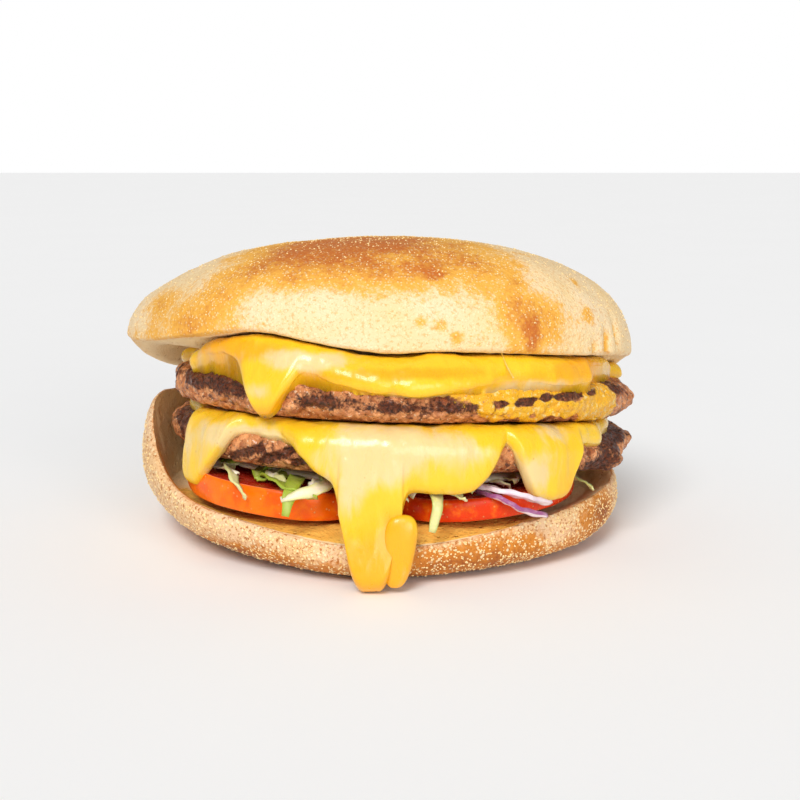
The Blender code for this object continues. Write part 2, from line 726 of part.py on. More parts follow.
def main():
    for existing in list(bpy.data.objects):
        bpy.data.objects.remove(existing)
    add_heel()
    tomatoes = add_tomatoes()
    add_lettuce()
    add_onions()
    lower = add_patty("patty_lower", LOWER_PATTY_OUTLINE, LOWER_PATTY_BOTTOM, LOWER_KNOBS, 11.0)
    upper = add_patty("patty_upper", UPPER_PATTY_OUTLINE, UPPER_PATTY_BOTTOM, UPPER_KNOBS, 17.0)
    add_lower_cheese([lower, upper, *tomatoes])
    add_upper_cheese([upper, add_crown()])


main()
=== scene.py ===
"""A double cheeseburger in a flat roll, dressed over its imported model, in metres.

Each layer is shaped as in the model, first in a neat, level stack and then carried by settle() to where
it lies in the real one, which fans open towards its front. Azimuths are in degrees from +X towards +Y,
so the front is at 270.
"""

import math
import random

import bmesh
import bpy
from mathutils import Matrix, Vector, noise


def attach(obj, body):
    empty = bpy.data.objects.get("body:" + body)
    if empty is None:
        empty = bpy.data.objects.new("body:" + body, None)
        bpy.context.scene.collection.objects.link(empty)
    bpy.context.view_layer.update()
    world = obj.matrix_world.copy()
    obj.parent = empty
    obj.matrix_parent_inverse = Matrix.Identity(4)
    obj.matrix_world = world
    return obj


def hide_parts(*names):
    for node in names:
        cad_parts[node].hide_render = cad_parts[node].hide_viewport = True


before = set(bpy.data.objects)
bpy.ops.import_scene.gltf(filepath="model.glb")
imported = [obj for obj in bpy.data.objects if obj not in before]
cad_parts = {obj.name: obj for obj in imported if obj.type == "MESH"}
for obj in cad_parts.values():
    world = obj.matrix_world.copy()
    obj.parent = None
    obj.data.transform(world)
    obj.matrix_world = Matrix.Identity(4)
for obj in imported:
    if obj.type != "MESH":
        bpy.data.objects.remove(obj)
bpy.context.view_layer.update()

# The camera and the light. The camera stands a little above the table, close in and level with the
# layers. Two broad soft lights come from the front: one from above on the left, and a weaker one from low
# down on the right. The room around is white.

MM = 0.001
CAMERA_ELEVATION = math.radians(9.5)
CAMERA_DISTANCE = 0.380
CAMERA_AIM = Vector((0, 0, 0.040))
CAMERA_LENS = 65.8
CAMERA_SHIFT = (0.0256, -0.035)
# Each light: where it comes from, how wide it looks in degrees, and its strength
LIGHTS = (
    ("light_key", (-0.24, -0.76, 0.70), 24, 1.95),
    ("light_fill", (0.40, -0.89, 0.20), 36, 1.05),
)


def add_object(name, data):
    """A new object of the scene."""
    made = bpy.data.objects.new(name, data)
    bpy.context.scene.collection.objects.link(made)
    return made


camera_data = bpy.data.cameras.new("camera")
camera_data.sensor_width = 36
camera_data.lens = CAMERA_LENS
camera_data.shift_x, camera_data.shift_y = CAMERA_SHIFT
camera_data.clip_start = 0.01
camera = add_object("camera", camera_data)
towards_camera = Vector((0, -math.cos(CAMERA_ELEVATION), math.sin(CAMERA_ELEVATION)))
camera.location = CAMERA_AIM + towards_camera * CAMERA_DISTANCE
camera.rotation_euler = (math.pi / 2 - CAMERA_ELEVATION, 0, 0)
bpy.context.scene.camera = camera
bpy.context.scene.view_settings.view_transform = "Standard"

for light_name, source, width, power in LIGHTS:
    light_data = bpy.data.lights.new(light_name, "SUN")
    light_data.angle = math.radians(width)
    light_data.energy = power
    light = add_object(light_name, light_data)
    light.rotation_euler = Vector(source).to_track_quat("Z", "Y").to_euler()

# How strongly the white room lights the burger. The camera itself sees it as plain white.
SKY_LIGHT = 0.43
world = bpy.data.worlds.new("studio")
bpy.context.scene.world = world
world.use_nodes = True
sky = world.node_tree.nodes["Background"]
sky.inputs["Color"].default_value = (1, 1, 1, 1)
rays = world.node_tree.nodes.new("ShaderNodeLightPath")
strength = world.node_tree.nodes.new("ShaderNodeMapRange")
strength.inputs["To Min"].default_value = SKY_LIGHT
strength.inputs["To Max"].default_value = 1.0
world.node_tree.links.new(rays.outputs["Is Camera Ray"], strength.inputs["Value"])
world.node_tree.links.new(strength.outputs["Result"], sky.inputs["Strength"])


# The floor: a plain pale table top, matt and very slightly uneven in tone.

class Socket:
    """One output of a node. Python's operators on it add Math nodes."""

    def __init__(self, finish, output):
        self.finish = finish
        self.output = output

    def math(self, operation, *values):
        return self.finish.node("ShaderNodeMath", {"operation": operation}, values)

    def __add__(self, other):
        return self.math("ADD", self, other)

    __radd__ = __add__

    def __sub__(self, other):
        return self.math("SUBTRACT", self, other)

    def __rsub__(self, other):
        return self.math("SUBTRACT", other, self)

    def __mul__(self, other):
        return self.math("MULTIPLY", self, other)

    __rmul__ = __mul__


class Finish:
    """A procedural material. Its constants are set on the shader's own sockets."""

    def __init__(self, name, **constants):
        self.material = bpy.data.materials.new(name)
        self.material.use_nodes = True
        self.shader = self.material.node_tree.nodes["Principled BSDF"]
        for socket, value in constants.items():
            self.shader.inputs[socket.replace("_", " ")].default_value = value
        self.place = self.node("ShaderNodeTexCoord", output="Object")

    def node(self, kind, settings=(), inputs=(), output=0):
        """A node of a type: its settings first, then values or links of its sockets. Gives one output."""
        made = self.material.node_tree.nodes.new(kind)
        for name, value in dict(settings).items():
            setattr(made, name, value)
        pairs = inputs.items() if isinstance(inputs, dict) else enumerate(inputs)
        for key, value in pairs:
            if isinstance(value, Socket):
                self.material.node_tree.links.new(value.output, made.inputs[key])
            else:
                made.inputs[key].default_value = value
        return Socket(self, made.outputs[output])

    def feed(self, **sockets):
        """Links each value to the shader's own socket of that name."""
        for name, value in sockets.items():
            self.material.node_tree.links.new(value.output, self.shader.inputs[name.replace("_", " ")])

    def cloud(self, size, detail=3.0, roughness=0.55, distortion=0.0, place=None):
        """Noise from 0 to 1 with features of a size in mm."""
        values = {"Vector": place or self.place, "Scale": 1 / (size * MM), "Detail": detail,
                  "Roughness": roughness, "Distortion": distortion}
        return self.node("ShaderNodeTexNoise", {}, values, "Fac")

    def cells(self, size, output="Distance", place=None):
        """Cells of a size in mm: the distance to a cell's middle, or its random colour."""
        values = {"Vector": place or self.place, "Scale": 1 / (size * MM)}
        return self.node("ShaderNodeTexVoronoi", {}, values, output)

    def grown(self, value, low, high):
        """0 below low, 1 above high, with a soft start and end."""
        settings = {"interpolation_type": "SMOOTHSTEP"}
        values = {"Value": value, "From Min": low, "From Max": high}
        return self.node("ShaderNodeMapRange", settings, values, "Result")

    def spread_over(self, value, low, high, to_low, to_high):
        """A value carried from one range to another."""
        values = {"Value": value, "From Min": low, "From Max": high, "To Min": to_low, "To Max": to_high}
        return self.node("ShaderNodeMapRange", {}, values, "Result")

    def mixed(self, share, first, second):
        """A colour from the first to the second as share goes from 0 to 1."""
        ends = [value if isinstance(value, Socket) else (*value, 1.0) for value in (first, second)]
        return self.node("ShaderNodeMix", {"data_type": "RGBA"}, {0: share, 6: ends[0], 7: ends[1]}, 2)

    def painted(self, name):
        """The mesh's own attribute of that name."""
        return self.node("ShaderNodeAttribute", {"attribute_name": name}, (), "Fac")

    def bumped(self, height, depth):
        """A bump normal, whose height of 1 stands for a depth in mm."""
        values = {"Height": height, "Distance": depth * MM, "Strength": 1.0}
        return self.node("ShaderNodeBump", {}, values, "Normal")


def mesh_of(name, net):
    """A mesh of a bmesh, which is freed."""
    mesh = bpy.data.meshes.new(name)
    net.to_mesh(mesh)
    net.free()
    return mesh


FLOOR_SIZE = 6.0
floor_net = bmesh.new()
bmesh.ops.create_grid(floor_net, x_segments=2, y_segments=2, size=FLOOR_SIZE / 2)
floor = add_object("floor", mesh_of("floor", floor_net))
floor_finish = Finish("pale_table", Roughness=0.9)
tone = floor_finish.cloud(90.0)
floor_finish.feed(Base_Color=floor_finish.mixed(tone, (0.99, 0.99, 0.99), (0.97, 0.97, 0.97)))
floor.data.materials.append(floor_finish.material)


# The heel is the lower half of a flat wheat roll, baked on semolina: a thin speckled crust with loose
# grains on it, and a cut face that the fillings press into a shallow bowl. Its left side stands up, and
# sauce and tomato juice have stained the cut face round the tomato.

STACK_HEIGHT = 74.6 * MM
PATTY_THICKNESS = 8.6 * MM
CHEESE_THICKNESS = 2.3 * MM
GAP = 0.4 * MM
HEEL_HEIGHT = 11.2 * MM

# The share by which heights grow for each metre towards the front and to the left
FAN_FORWARD = 2.2
FAN_LEFT = 0.9

# How far the layers sag at most, at which azimuth, and how many degrees to either side
SAG = 3.4 * MM
SAG_AZIMUTH = 348
SAG_SECTOR = 48

# Radii in mm at every 30 degrees, the rim's height in mm, the flat base's share of the outline, and how
# high up the crust is widest
HEEL_OUTLINE = (61.8, 60.2, 58.2, 57.4, 58.0, 60.4, 61.6, 59.6, 57.6, 57.4, 57.8, 60.6)
HEEL_RIM = (18.6, 20.5, 21.5, 22.5, 26.0, 31.4, 31.0, 15.8, 11.0, 8.2, 10.6, 14.4)
HEEL_FLOOR = (0.76, 0.74, 0.74, 0.74, 0.74, 0.72, 0.70, 0.60, 0.67, 0.76, 0.74, 0.76)
HEEL_WIDE = (0.55, 0.52, 0.5, 0.5, 0.5, 0.52, 0.58, 0.9, 0.8, 0.6, 0.55, 0.52)

# The level seat's share of the outline and of the net's way out to the rim, and where on the net's way down
# the relief of the crust has died out
HEEL_SEAT = 0.80
SEAT_SHARE = 4 / 9
HEEL_FOOT = 0.84

# How fine a net is, in segments round the piece and rings from pole to pole, and how near two of its points
# are at its seam
CRUST_NET = (470, 200)
SEAM = 0.00001

# The loose grains: how often the first one is doubled, and their half sizes in mm
GRAIN_DOUBLINGS = 12
HEEL_GRAINS = (0.14, 0.32)


def ease(value, low, high):
    """0 at low, 1 at high, with a soft start and end."""
    share = min(1.0, max(0.0, (value - low) / (high - low)))
    return share * share * (3 - 2 * share)


def curved(share, a, b, c, d):
    """The value at a share of the way from b to c, on a smooth curve through four stations."""
    bend = 2 * a - 5 * b + 4 * c - d
    turn = 3 * (b - c) + d - a
    return 0.5 * (2 * b + share * (c - a + share * (bend + share * turn)))


def around(stations, azimuth):
    """The value at an azimuth, on a smooth closed curve through evenly spaced stations."""
    place = (azimuth % 360) / 360 * len(stations)
    index = int(place)
    return curved(place - index, *(stations[(index + k) % len(stations)] for k in (-1, 0, 1, 2)))


def turn_from(middle, azimuth):
    """Degrees from a middle azimuth to another one, the short way round: from -180 to 180."""
    return (azimuth - middle + 180) % 360 - 180


def sag(point):
    """How far a point of the neat stack has sunk: most at the lower patty's right edge, none in the roll."""
    x, y, height = point
    away = abs(turn_from(SAG_AZIMUTH, math.degrees(math.atan2(y, x))))
    out = math.hypot(x, y) / (57 * MM) * ease(SAG_SECTOR - away, 0, SAG_SECTOR)
    above = 1 - 0.65 * ease(height, 29 * MM, 36 * MM) - 0.35 * ease(height, 37 * MM, 47 * MM)
    return SAG * out * ease(height, 12 * MM, 22 * MM) * above


def settle(point):
    """A point of the neat stack, carried to where it is in the real one."""
    x, y, height = point
    return Vector((x, y, (height - sag(point)) * (1 - FAN_FORWARD * y - FAN_LEFT * x)))


def lumps(point, size, seed):
    """Smooth noise from -1 to 1, with lumps of about the given size."""
    return noise.noise(Vector(point) / size + Vector((seed, 7.3 * seed, 3.1 * seed)))


def polar(azimuth, radius, height):
    """The point at an azimuth, a radius and a height."""
    angle = math.radians(azimuth)
    return Vector((radius * math.cos(angle), radius * math.sin(angle), height))


class Patch:
    """A soft-edged spot: where its middle is and its half sizes, in mm, and how strong it is."""

    def __init__(self, middle, sizes, amount):
        self.middle = Vector(middle) * MM
        self.sizes = Vector(sizes) * MM
        self.amount = amount

    def at(self, point):
        x, y, z = point - self.middle
        away = (x / self.sizes.x) ** 2 + (y / self.sizes.y) ** 2 + (z / self.sizes.z) ** 2
        return self.amount * math.exp(-away) if away < 12 else 0.0


def patched(patches, point):
    """How strong all the spots together are at a point."""
    return sum(patch.at(point) for patch in patches)


def add_piece(name, net, finish, node):
    """Makes a named object of a bmesh, smooth, in its finish, on the body and in place of a CAD node."""
    mesh = mesh_of(name, net)
    mesh.shade_smooth()
    mesh.materials.append(finish.material)
    made = add_object(name, mesh)
    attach(made, "root")
    if node:
        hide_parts(node)
    return made


def paint(made, values):
    """Stores lists of values, one for each vertex, as the piece's own attributes."""
    for name, numbers in values.items():
        layer = made.data.attributes.new(name, "FLOAT", "POINT")
        layer.data.foreach_set("value", numbers)


def join_in(net, part):
    """Adds all of a bmesh part to net, in the part's own order of vertices, and frees the part."""
    mesh = mesh_of("part", part)
    net.from_mesh(mesh)
    bpy.data.meshes.remove(mesh)


def turned(size, shape, relief=None, masks=None, crowd=0.0):
    """A closed bmesh from a sphere's net of segments and rings, and the lists of its masks.

    shape(azimuth, travel) gives the point of the neat stack: travel runs from 0 at the top pole, over the
    rim at 0.5, to 1 at the bottom pole. relief and the masks are rules of (azimuth, travel, point): how
    far the surface stands out along its normal, and the values to paint. crowd, from 0 to 1, is how much
    closer together the segments are at the front. The net is joined in to an empty one once its seam is
    closed, so that its vertices, and the masks, keep their order when it is joined in again.
    """
    sphere = bmesh.new()
    bmesh.ops.create_grid(sphere, x_segments=size[0], y_segments=size[1], size=0.5)
    for vertex in sphere.verts:
        turn, travel = (vertex.co.x + 0.5) * math.tau, (vertex.co.y + 0.5) * math.pi
        level = math.sin(travel)
        vertex.co = (math.cos(turn) * level, math.sin(turn) * level, math.cos(travel))
    bmesh.ops.remove_doubles(sphere, verts=sphere.verts, dist=SEAM)
    net = bmesh.new()
    join_in(net, sphere)
    ways = []
    for vertex in net.verts:
        x, y, z = vertex.co
        from_front = math.atan2(x, -y)
        azimuth = round(math.degrees(from_front - crowd * math.sin(from_front)) - 90, 3) % 360
        travel = math.acos(max(-1.0, min(1.0, z))) / math.pi
        ways.append((azimuth, travel))
        vertex.co = settle(shape(azimuth, travel))
    bmesh.ops.recalc_face_normals(net, faces=net.faces)
    net.normal_update()
    painted = {name: [] for name in masks or {}}
    for (azimuth, travel), vertex in zip(ways, net.verts):
        for name, numbers in painted.items():
            numbers.append(masks[name](azimuth, travel, vertex.co))
    if relief is not None:
        moves = [relief(azimuth, travel, vertex.co) for (azimuth, travel), vertex in zip(ways, net.verts)]
        for move, vertex in zip(moves, net.verts):
            vertex.co += vertex.normal * move
    return net, painted


def heel_shape(azimuth, travel):
    """The cut face runs out and up to the rim, and the crust bulges out and back in to the flat base."""
    outline = around(HEEL_OUTLINE, azimuth) * MM
    rim = around(HEEL_RIM, azimuth)
    edge_radius = outline * (1.004 - 0.0018 * rim)
    edge_height = rim * MM
    if travel <= 0.5:
        share = travel / 0.5
        corner = max(HEEL_SEAT, 0.885 - 0.0009 * abs(rim - 33)) * outline
        if share < SEAT_SHARE:
            return polar(azimuth, corner * share / SEAT_SHARE, HEEL_HEIGHT)
        climb = (share - SEAT_SHARE) / (1 - SEAT_SHARE)
        height = HEEL_HEIGHT + (edge_height - HEEL_HEIGHT) * climb ** 1.25
        return polar(azimuth, corner + (edge_radius - corner) * climb, height)
    share = (travel - 0.5) / 0.5
    wide = around(HEEL_WIDE, azimuth) * edge_height
    base = around(HEEL_FLOOR, azimuth) * outline
    if share < 0.3:
        sweep = share / 0.3 * math.pi / 2
        radius = edge_radius + (outline - edge_radius) * math.sin(sweep)
        height = wide + (edge_height - wide) * math.cos(sweep)
    elif share < 0.7:
        sweep = (share - 0.3) / 0.4 * math.pi / 2
        radius = base + (outline - base) * math.cos(sweep)
        height = wide * (1 - math.sin(sweep))
    else:
        return polar(azimuth, base * (1 - share) / 0.3, 0.0)
    point = polar(azimuth, radius, height)
    return point + polar(azimuth, 0.6 * MM * lumps(point, 18 * MM, 3.0) * ease(0.68 - share, 0, 0.05), 0)


HEEL_CREASE = Patch((-57.2, -2.0, 24.5), (2.4, 1.3, 8.0), 1.0)
HEEL_TOAST = (
    Patch((54.0, -27.2, 9.0), (10.0, 10.0, 6.0), 0.85),
    Patch((28.8, -49.9, 7.0), (13.0, 8.0, 4.0), 0.55),
    Patch((27.1, -42.7, 12.0), (3.0, 3.0, 2.4), 0.45),
    Patch((13.7, -55.6, 6.5), (10.0, 6.0, 3.4), 0.50),
    Patch((-34.8, -45.3, 5.0), (16.0, 12.0, 3.4), 0.50),
    Patch((-60.0, 24.0, 12.0), (8.0, 12.0, 6.0), 0.40),
    Patch((30.0, 52.0, 11.0), (14.0, 8.0, 5.0), 0.45),
    Patch((-26.0, 54.0, 9.0), (12.0, 8.0, 5.0), 0.40),
)


def heel_relief(azimuth, travel, point):
    """Blisters and puckers on the crust, open crumb on the cut face, and the crease in the left wall."""
    if travel > HEEL_FOOT:
        return 0.0
    if travel > 0.5:
        grain = 0.16 * lumps(point, 5 * MM, 21.0) + 0.13 * lumps(point, 2.1 * MM, 22.0)
        return grain * MM * ease(HEEL_FOOT - travel, 0, 0.03)
    crumb = 0.22 * lumps(point, 3.4 * MM, 23.0) + 0.12 * lumps(point, 1.7 * MM, 24.0)
    return (crumb - 0.9 * HEEL_CREASE.at(point)) * MM * ease(0.5 - travel, 0, 0.02)


def heel_toast_and_crease_shade(azimuth, travel, point):
    """Toast on the crust: in spots, all round its foot and along the rim, and painted shade in the crease."""
    low = 0.62 * ease(8.0 * MM - point.z, 0, 6.5 * MM) * ease(travel, 0.5, 0.56)
    # The crease in the left wall is darkened as painted shade.
    face = 0.9 * HEEL_CREASE.at(point) if travel < 0.5 else 0.0
    rim = 0.30 * max(0.0, 1 - abs(travel - 0.507) / 0.014)
    return patched(HEEL_TOAST, point) * ease(travel, 0.48, 0.54) + low + face + rim


def heel_stain(azimuth, travel, point):
    """Sauce and juice: strongest beside the tomato at the front, fading up the walls and over the rim."""
    front = ease(abs(turn_from(252, azimuth)), 72, 34)
    wet = ease(travel, 0.16, 0.22) * ease(travel, 0.502, 0.455)
    return wet * (0.30 + 0.85 * front)


def crust_finish(name, cream, gold, brown, speck, bead, bead_size):
    """Baked crust dusted with flour and semolina, which its toast and shade attribute browns, and darkens in
    creases as painted shade; the crumb of the cut face where the attribute crumb is 1, with painted shade
    in its pores; and sauce on it where the attribute stain says. speck and bead are how strongly the golden
    specks and the pale beads show, and bead_size is in mm."""
    crust = Finish(name, IOR=1.45)
    patches = crust.cloud(7.0, 4.0, 0.6)
    grit = crust.cloud(1.1, 3.0, 0.7)
    toast_and_shade = crust.painted("toast_and_shade") + (patches - 0.5) * 0.95 + (grit - 0.5) * 0.75
    floury = tuple(0.42 + 0.58 * value for value in cream)
    colour = crust.mixed(crust.cloud(14.0, 2.0), cream, floury)
    colour = crust.mixed(crust.grown(toast_and_shade, 0.08, 0.46), colour, gold)
    colour = crust.mixed(crust.grown(toast_and_shade, 0.44, 1.0), colour, brown)
    browned = tuple(0.5 * (first + second) for first, second in zip(gold, brown))
    specks = crust.grown(crust.cloud(0.8, 3.0, 0.7), 0.50, 0.66)
    colour = crust.mixed(specks * speck, colour, browned)
    beads = crust.cells(bead_size)
    chosen = crust.grown(crust.cells(bead_size, output="Color"), 0.34, 0.46)
    tops = crust.grown(beads, 0.44, 0.20) * chosen
    bare = 1 - crust.grown(toast_and_shade, 0.55, 1.1) * 0.6
    colour = crust.mixed(tops * bare * bead, colour, (1.0, 0.86, 0.52))
    crumb = crust.painted("crumb")
    pores = crust.grown(crust.cells(1.9), 0.30, 0.12) * crust.grown(crust.cloud(3.0), 0.45, 0.62)
    inside = crust.mixed(crust.cloud(4.0), (0.98, 0.80, 0.50), (0.94, 0.68, 0.33))
    # Darker in the crumb's pores, as painted shade in the holes.
    inside = crust.mixed(pores * 0.5, inside, (0.66, 0.38, 0.12))
    inside = crust.mixed(crust.grown(toast_and_shade, 0.35, 0.85), inside, (0.58, 0.22, 0.035))
    colour = crust.mixed(crumb, colour, inside)
    stain = crust.painted("stain") + (crust.cloud(5.0, 4.0) - 0.5) * 0.8
    wet = crust.grown(stain, 0.34, 0.72) * crumb
    sauce = crust.mixed(crust.cloud(2.6, 3.0), (1.0, 0.64, 0.10), (0.94, 0.40, 0.02))
    colour = crust.mixed(wet * 0.88, colour, sauce)
    rough = 0.66 - wet * 0.40 - tops * 0.16
    rounds = crust.grown(beads, 0.55, 0.05) * chosen
    height = rounds * 0.6 * bead + grit * 0.6 + crust.cloud(0.45, 2.0) * 0.35 - pores * crumb * 1.2
    crust.feed(Base_Color=colour, Roughness=rough, Normal=crust.bumped(height, 0.36))
    return crust


def strewn(net, wanted, sizes, seed):
    """A bmesh of many small grains, half sunk into those faces for which wanted(face) holds."""
    draw = random.Random(seed)
    faces = [face for face in net.faces if wanted(face)]
    grains = bmesh.new()
    bmesh.ops.create_icosphere(grains, subdivisions=1, radius=1)
    corners = len(grains.verts)
    for _ in range(GRAIN_DOUBLINGS):
        bmesh.ops.duplicate(grains, geom=grains.verts[:] + grains.edges[:] + grains.faces[:])
    grains.verts.ensure_lookup_table()
    for first in range(0, len(grains.verts), corners):
        face = draw.choice(faces)
        start, across, along = face.verts[0].co, face.verts[1].co, face.verts[-1].co
        place = start + (across - start) * draw.random() + (along - start) * draw.random()
        size = draw.uniform(*sizes) * MM
        turn = Matrix.Rotation(draw.uniform(0, math.tau), 3, "Z")
        turn = turn @ Matrix.Rotation(draw.uniform(0, 3), 3, "X")
        stretch = Vector((draw.uniform(0.7, 1.3), draw.uniform(0.7, 1.1), draw.uniform(0.6, 1.0))) * size
        for vertex in grains.verts[first : first + corners]:
            vertex.co = place + turn @ Vector(value * part for value, part in zip(vertex.co, stretch))
    return grains


def on_heel_crust(face):
    """Whether a face of the heel looks outwards, and lies above the foot."""
    middle = face.calc_center_median()
    outward = middle.to_2d().dot(face.normal.to_2d()) > 0
    return 1.2 * MM < middle.z and face.normal.z < 0.35 and outward


heel_net, heel_masks = turned(CRUST_NET, heel_shape, heel_relief, {
    "toast_and_shade": heel_toast_and_crease_shade,
    "stain": heel_stain,
    "crumb": lambda azimuth, travel, point: ease(travel, 0.503, 0.492),
})
heel_finish = crust_finish("heel_crust", (0.80, 0.43, 0.105), (0.64, 0.22, 0.016), (0.28, 0.062, 0.006),
                           speck=1.0, bead=0.72, bead_size=1.05)
heel_grains = strewn(heel_net, on_heel_crust, HEEL_GRAINS, seed=5)
heel = add_piece("heel_roll", heel_net, heel_finish, "roll_heel")
paint(heel, heel_masks)
grain_finish = Finish("semolina", Roughness=0.35, IOR=1.5)
grain_tone = grain_finish.mixed(grain_finish.cloud(2.0), (1.0, 0.84, 0.50), (0.90, 0.58, 0.18))
grain_finish.feed(Base_Color=grain_tone)
add_piece("semolina_on_heel", heel_grains, grain_finish, None)


# Tomato: three oval slices laid on the heel, cut about 5 mm thick. The skin is thin, tight and glossy over
# wet flesh, more orange on the left, and the cut face is watery. The pale pink line along the cut face's
# edge is a painted highlight, and so is the pale colour of the drops on it.

TOMATO_BOTTOM = HEEL_HEIGHT + GAP
TOMATO_NET = (360, 72)
SLICE_FULLNESS = 2.3
SLICE_FACE = 0.94
BED_LIMIT = 60.5 * MM


def from_pole(travel):
    """The share of the way from the nearer pole to the rim, and 1 for the upper side or -1 for the lower."""
    return (travel / 0.5, 1) if travel <= 0.5 else ((1 - travel) / 0.5, -1)


def rounded(value):
    """A sine or cosine, bent so that a circle becomes a fuller oval."""
    return math.copysign(abs(value) ** (2 / SLICE_FULLNESS), value)


class Slice:
    """An oval slice: middle, half sizes and thickness in mm, and how steeply it rises away from x = 0."""

    def __init__(self, middle, half_sizes, thickness, tilt):
        self.middle = Vector((*middle, 0)) * MM
        self.half_sizes = Vector((*half_sizes, thickness / 2)) * MM
        self.tilt = tilt

    def shape(self, azimuth, travel):
        """Flat faces, a rounded edge, and the outline held inside the heel's walls."""
        share, side = from_pole(travel)
        angle = math.radians(azimuth)
        if share < 0.5:
            reach, level = share / 0.5 * SLICE_FACE, 1.0
        else:
            sweep = (share - 0.5) / 0.5 * math.pi / 2
            reach, level = SLICE_FACE + (1 - SLICE_FACE) * math.sin(sweep), math.cos(sweep) ** 0.8
        x = rounded(math.cos(angle)) * self.half_sizes.x * reach + self.middle.x
        y = rounded(math.sin(angle)) * self.half_sizes.y * reach + self.middle.y
        inward = (1 + (math.hypot(x, y) / BED_LIMIT) ** 8) ** -0.125
        half = self.half_sizes.z
        height = TOMATO_BOTTOM + half + half * side * level
        return Vector((x * inward, y * inward, height + self.tilt * abs(x)))


TOMATO_SLICES = {
    "left": Slice((-25.2, -24.0), (24.8, 33.0), 5.9, 0.05),
    "right": Slice((25.6, -24.0), (25.2, 33.0), 4.9, 0.05),
    "back": Slice((0.0, 29.6), (30.0, 18.6), 5.2, 0.0),
}


def tomato_relief(azimuth, travel, point):
    """Shallow dimples in the skin and the cut faces."""
    dimple = 0.10 * lumps(point, 7 * MM, 31.0) + 0.04 * lumps(point, 2.4 * MM, 32.0)
    return dimple * MM


def tomato_finish():
    """Wet flesh, which the attribute skin covers with orange to red skin, under clear drops, with painted
    highlights on the drops and a painted highlight line where the face meets the skin.
    """
    flesh = Finish("tomato", IOR=1.36, Specular_IOR_Level=0.35,
                   Subsurface_Weight=0.08, Subsurface_Radius=(1.0, 0.25, 0.08), Subsurface_Scale=1.6 * MM)
    skin = flesh.painted("skin")
    across = flesh.node("ShaderNodeSeparateXYZ", {}, {"Vector": flesh.place}, "X")
    redder = flesh.grown(across + (flesh.cloud(9.0) - 0.5) * 0.012, -0.026, 0.006)
    colour = flesh.mixed(redder, (0.98, 0.175, 0.002), (0.74, 0.040, 0.002))
    streaks = flesh.cloud(3.2, 3.0, 0.6)
    colour = flesh.mixed(flesh.grown(streaks, 0.50, 0.72) * 0.5, colour, (1.0, 0.24, 0.006))
    ripe = flesh.grown(flesh.cloud(6.0, 4.0, 0.65), 0.46, 0.64)
    colour = flesh.mixed(ripe * 0.55, colour, (0.80, 0.060, 0.002))
    face = flesh.mixed(flesh.cloud(3.5, 3.0), (0.62, 0.035, 0.010), (0.42, 0.012, 0.004))
    # A pale pink line where the cut face meets the skin is a painted highlight.
    rim = flesh.grown(skin, 0.28, 0.52) * flesh.grown(skin, 0.80, 0.58)
    face = flesh.mixed(rim * 0.75, face, (0.92, 0.34, 0.22))
    colour = flesh.mixed(flesh.grown(skin, 0.45, 0.72), face, colour)
    # Pale spots on the drops are painted highlights. The drops also raise the bump.
    drops_and_highlights = flesh.grown(flesh.cells(1.5), 0.20, 0.13) * flesh.grown(flesh.cloud(4.0), 0.38, 0.52)
    colour = flesh.mixed(drops_and_highlights * 0.45, colour, (1.0, 0.52, 0.20))
    height = drops_and_highlights * 1.0 + flesh.cloud(0.9, 3.0) * 0.12
    flesh.feed(Base_Color=colour, Roughness=flesh.spread_over(flesh.cloud(1.5), 0, 1, 0.16, 0.36),
               Normal=flesh.bumped(height, 0.14))
    return flesh


TOMATO_FINISH = tomato_finish()
for side, cut in TOMATO_SLICES.items():
    tomato_net, tomato_masks = turned(TOMATO_NET, cut.shape, tomato_relief, {
        "skin": lambda azimuth, travel, point: ease(min(travel, 1 - travel), 0.215, 0.345),
    })
    slice_piece = add_piece("tomato_slice_" + side, tomato_net, TOMATO_FINISH, "tomato_" + side)
    paint(slice_piece, tomato_masks)


# Lettuce: a loose bed of finely shredded iceberg between the tomato and the lower patty. Thin, wavy strips
# of leaf, from white ribs to bright green edges, come out over the tomato. A core fills the unseen middle.

LOWER_PATTY_BOTTOM = 22.2 * MM
LETTUCE_RADIUS = (50.5, 49.5, 48.5, 47.0, 46.0, 45.0, 45.0, 46.5, 48.5, 49.5, 50.5, 51.5)

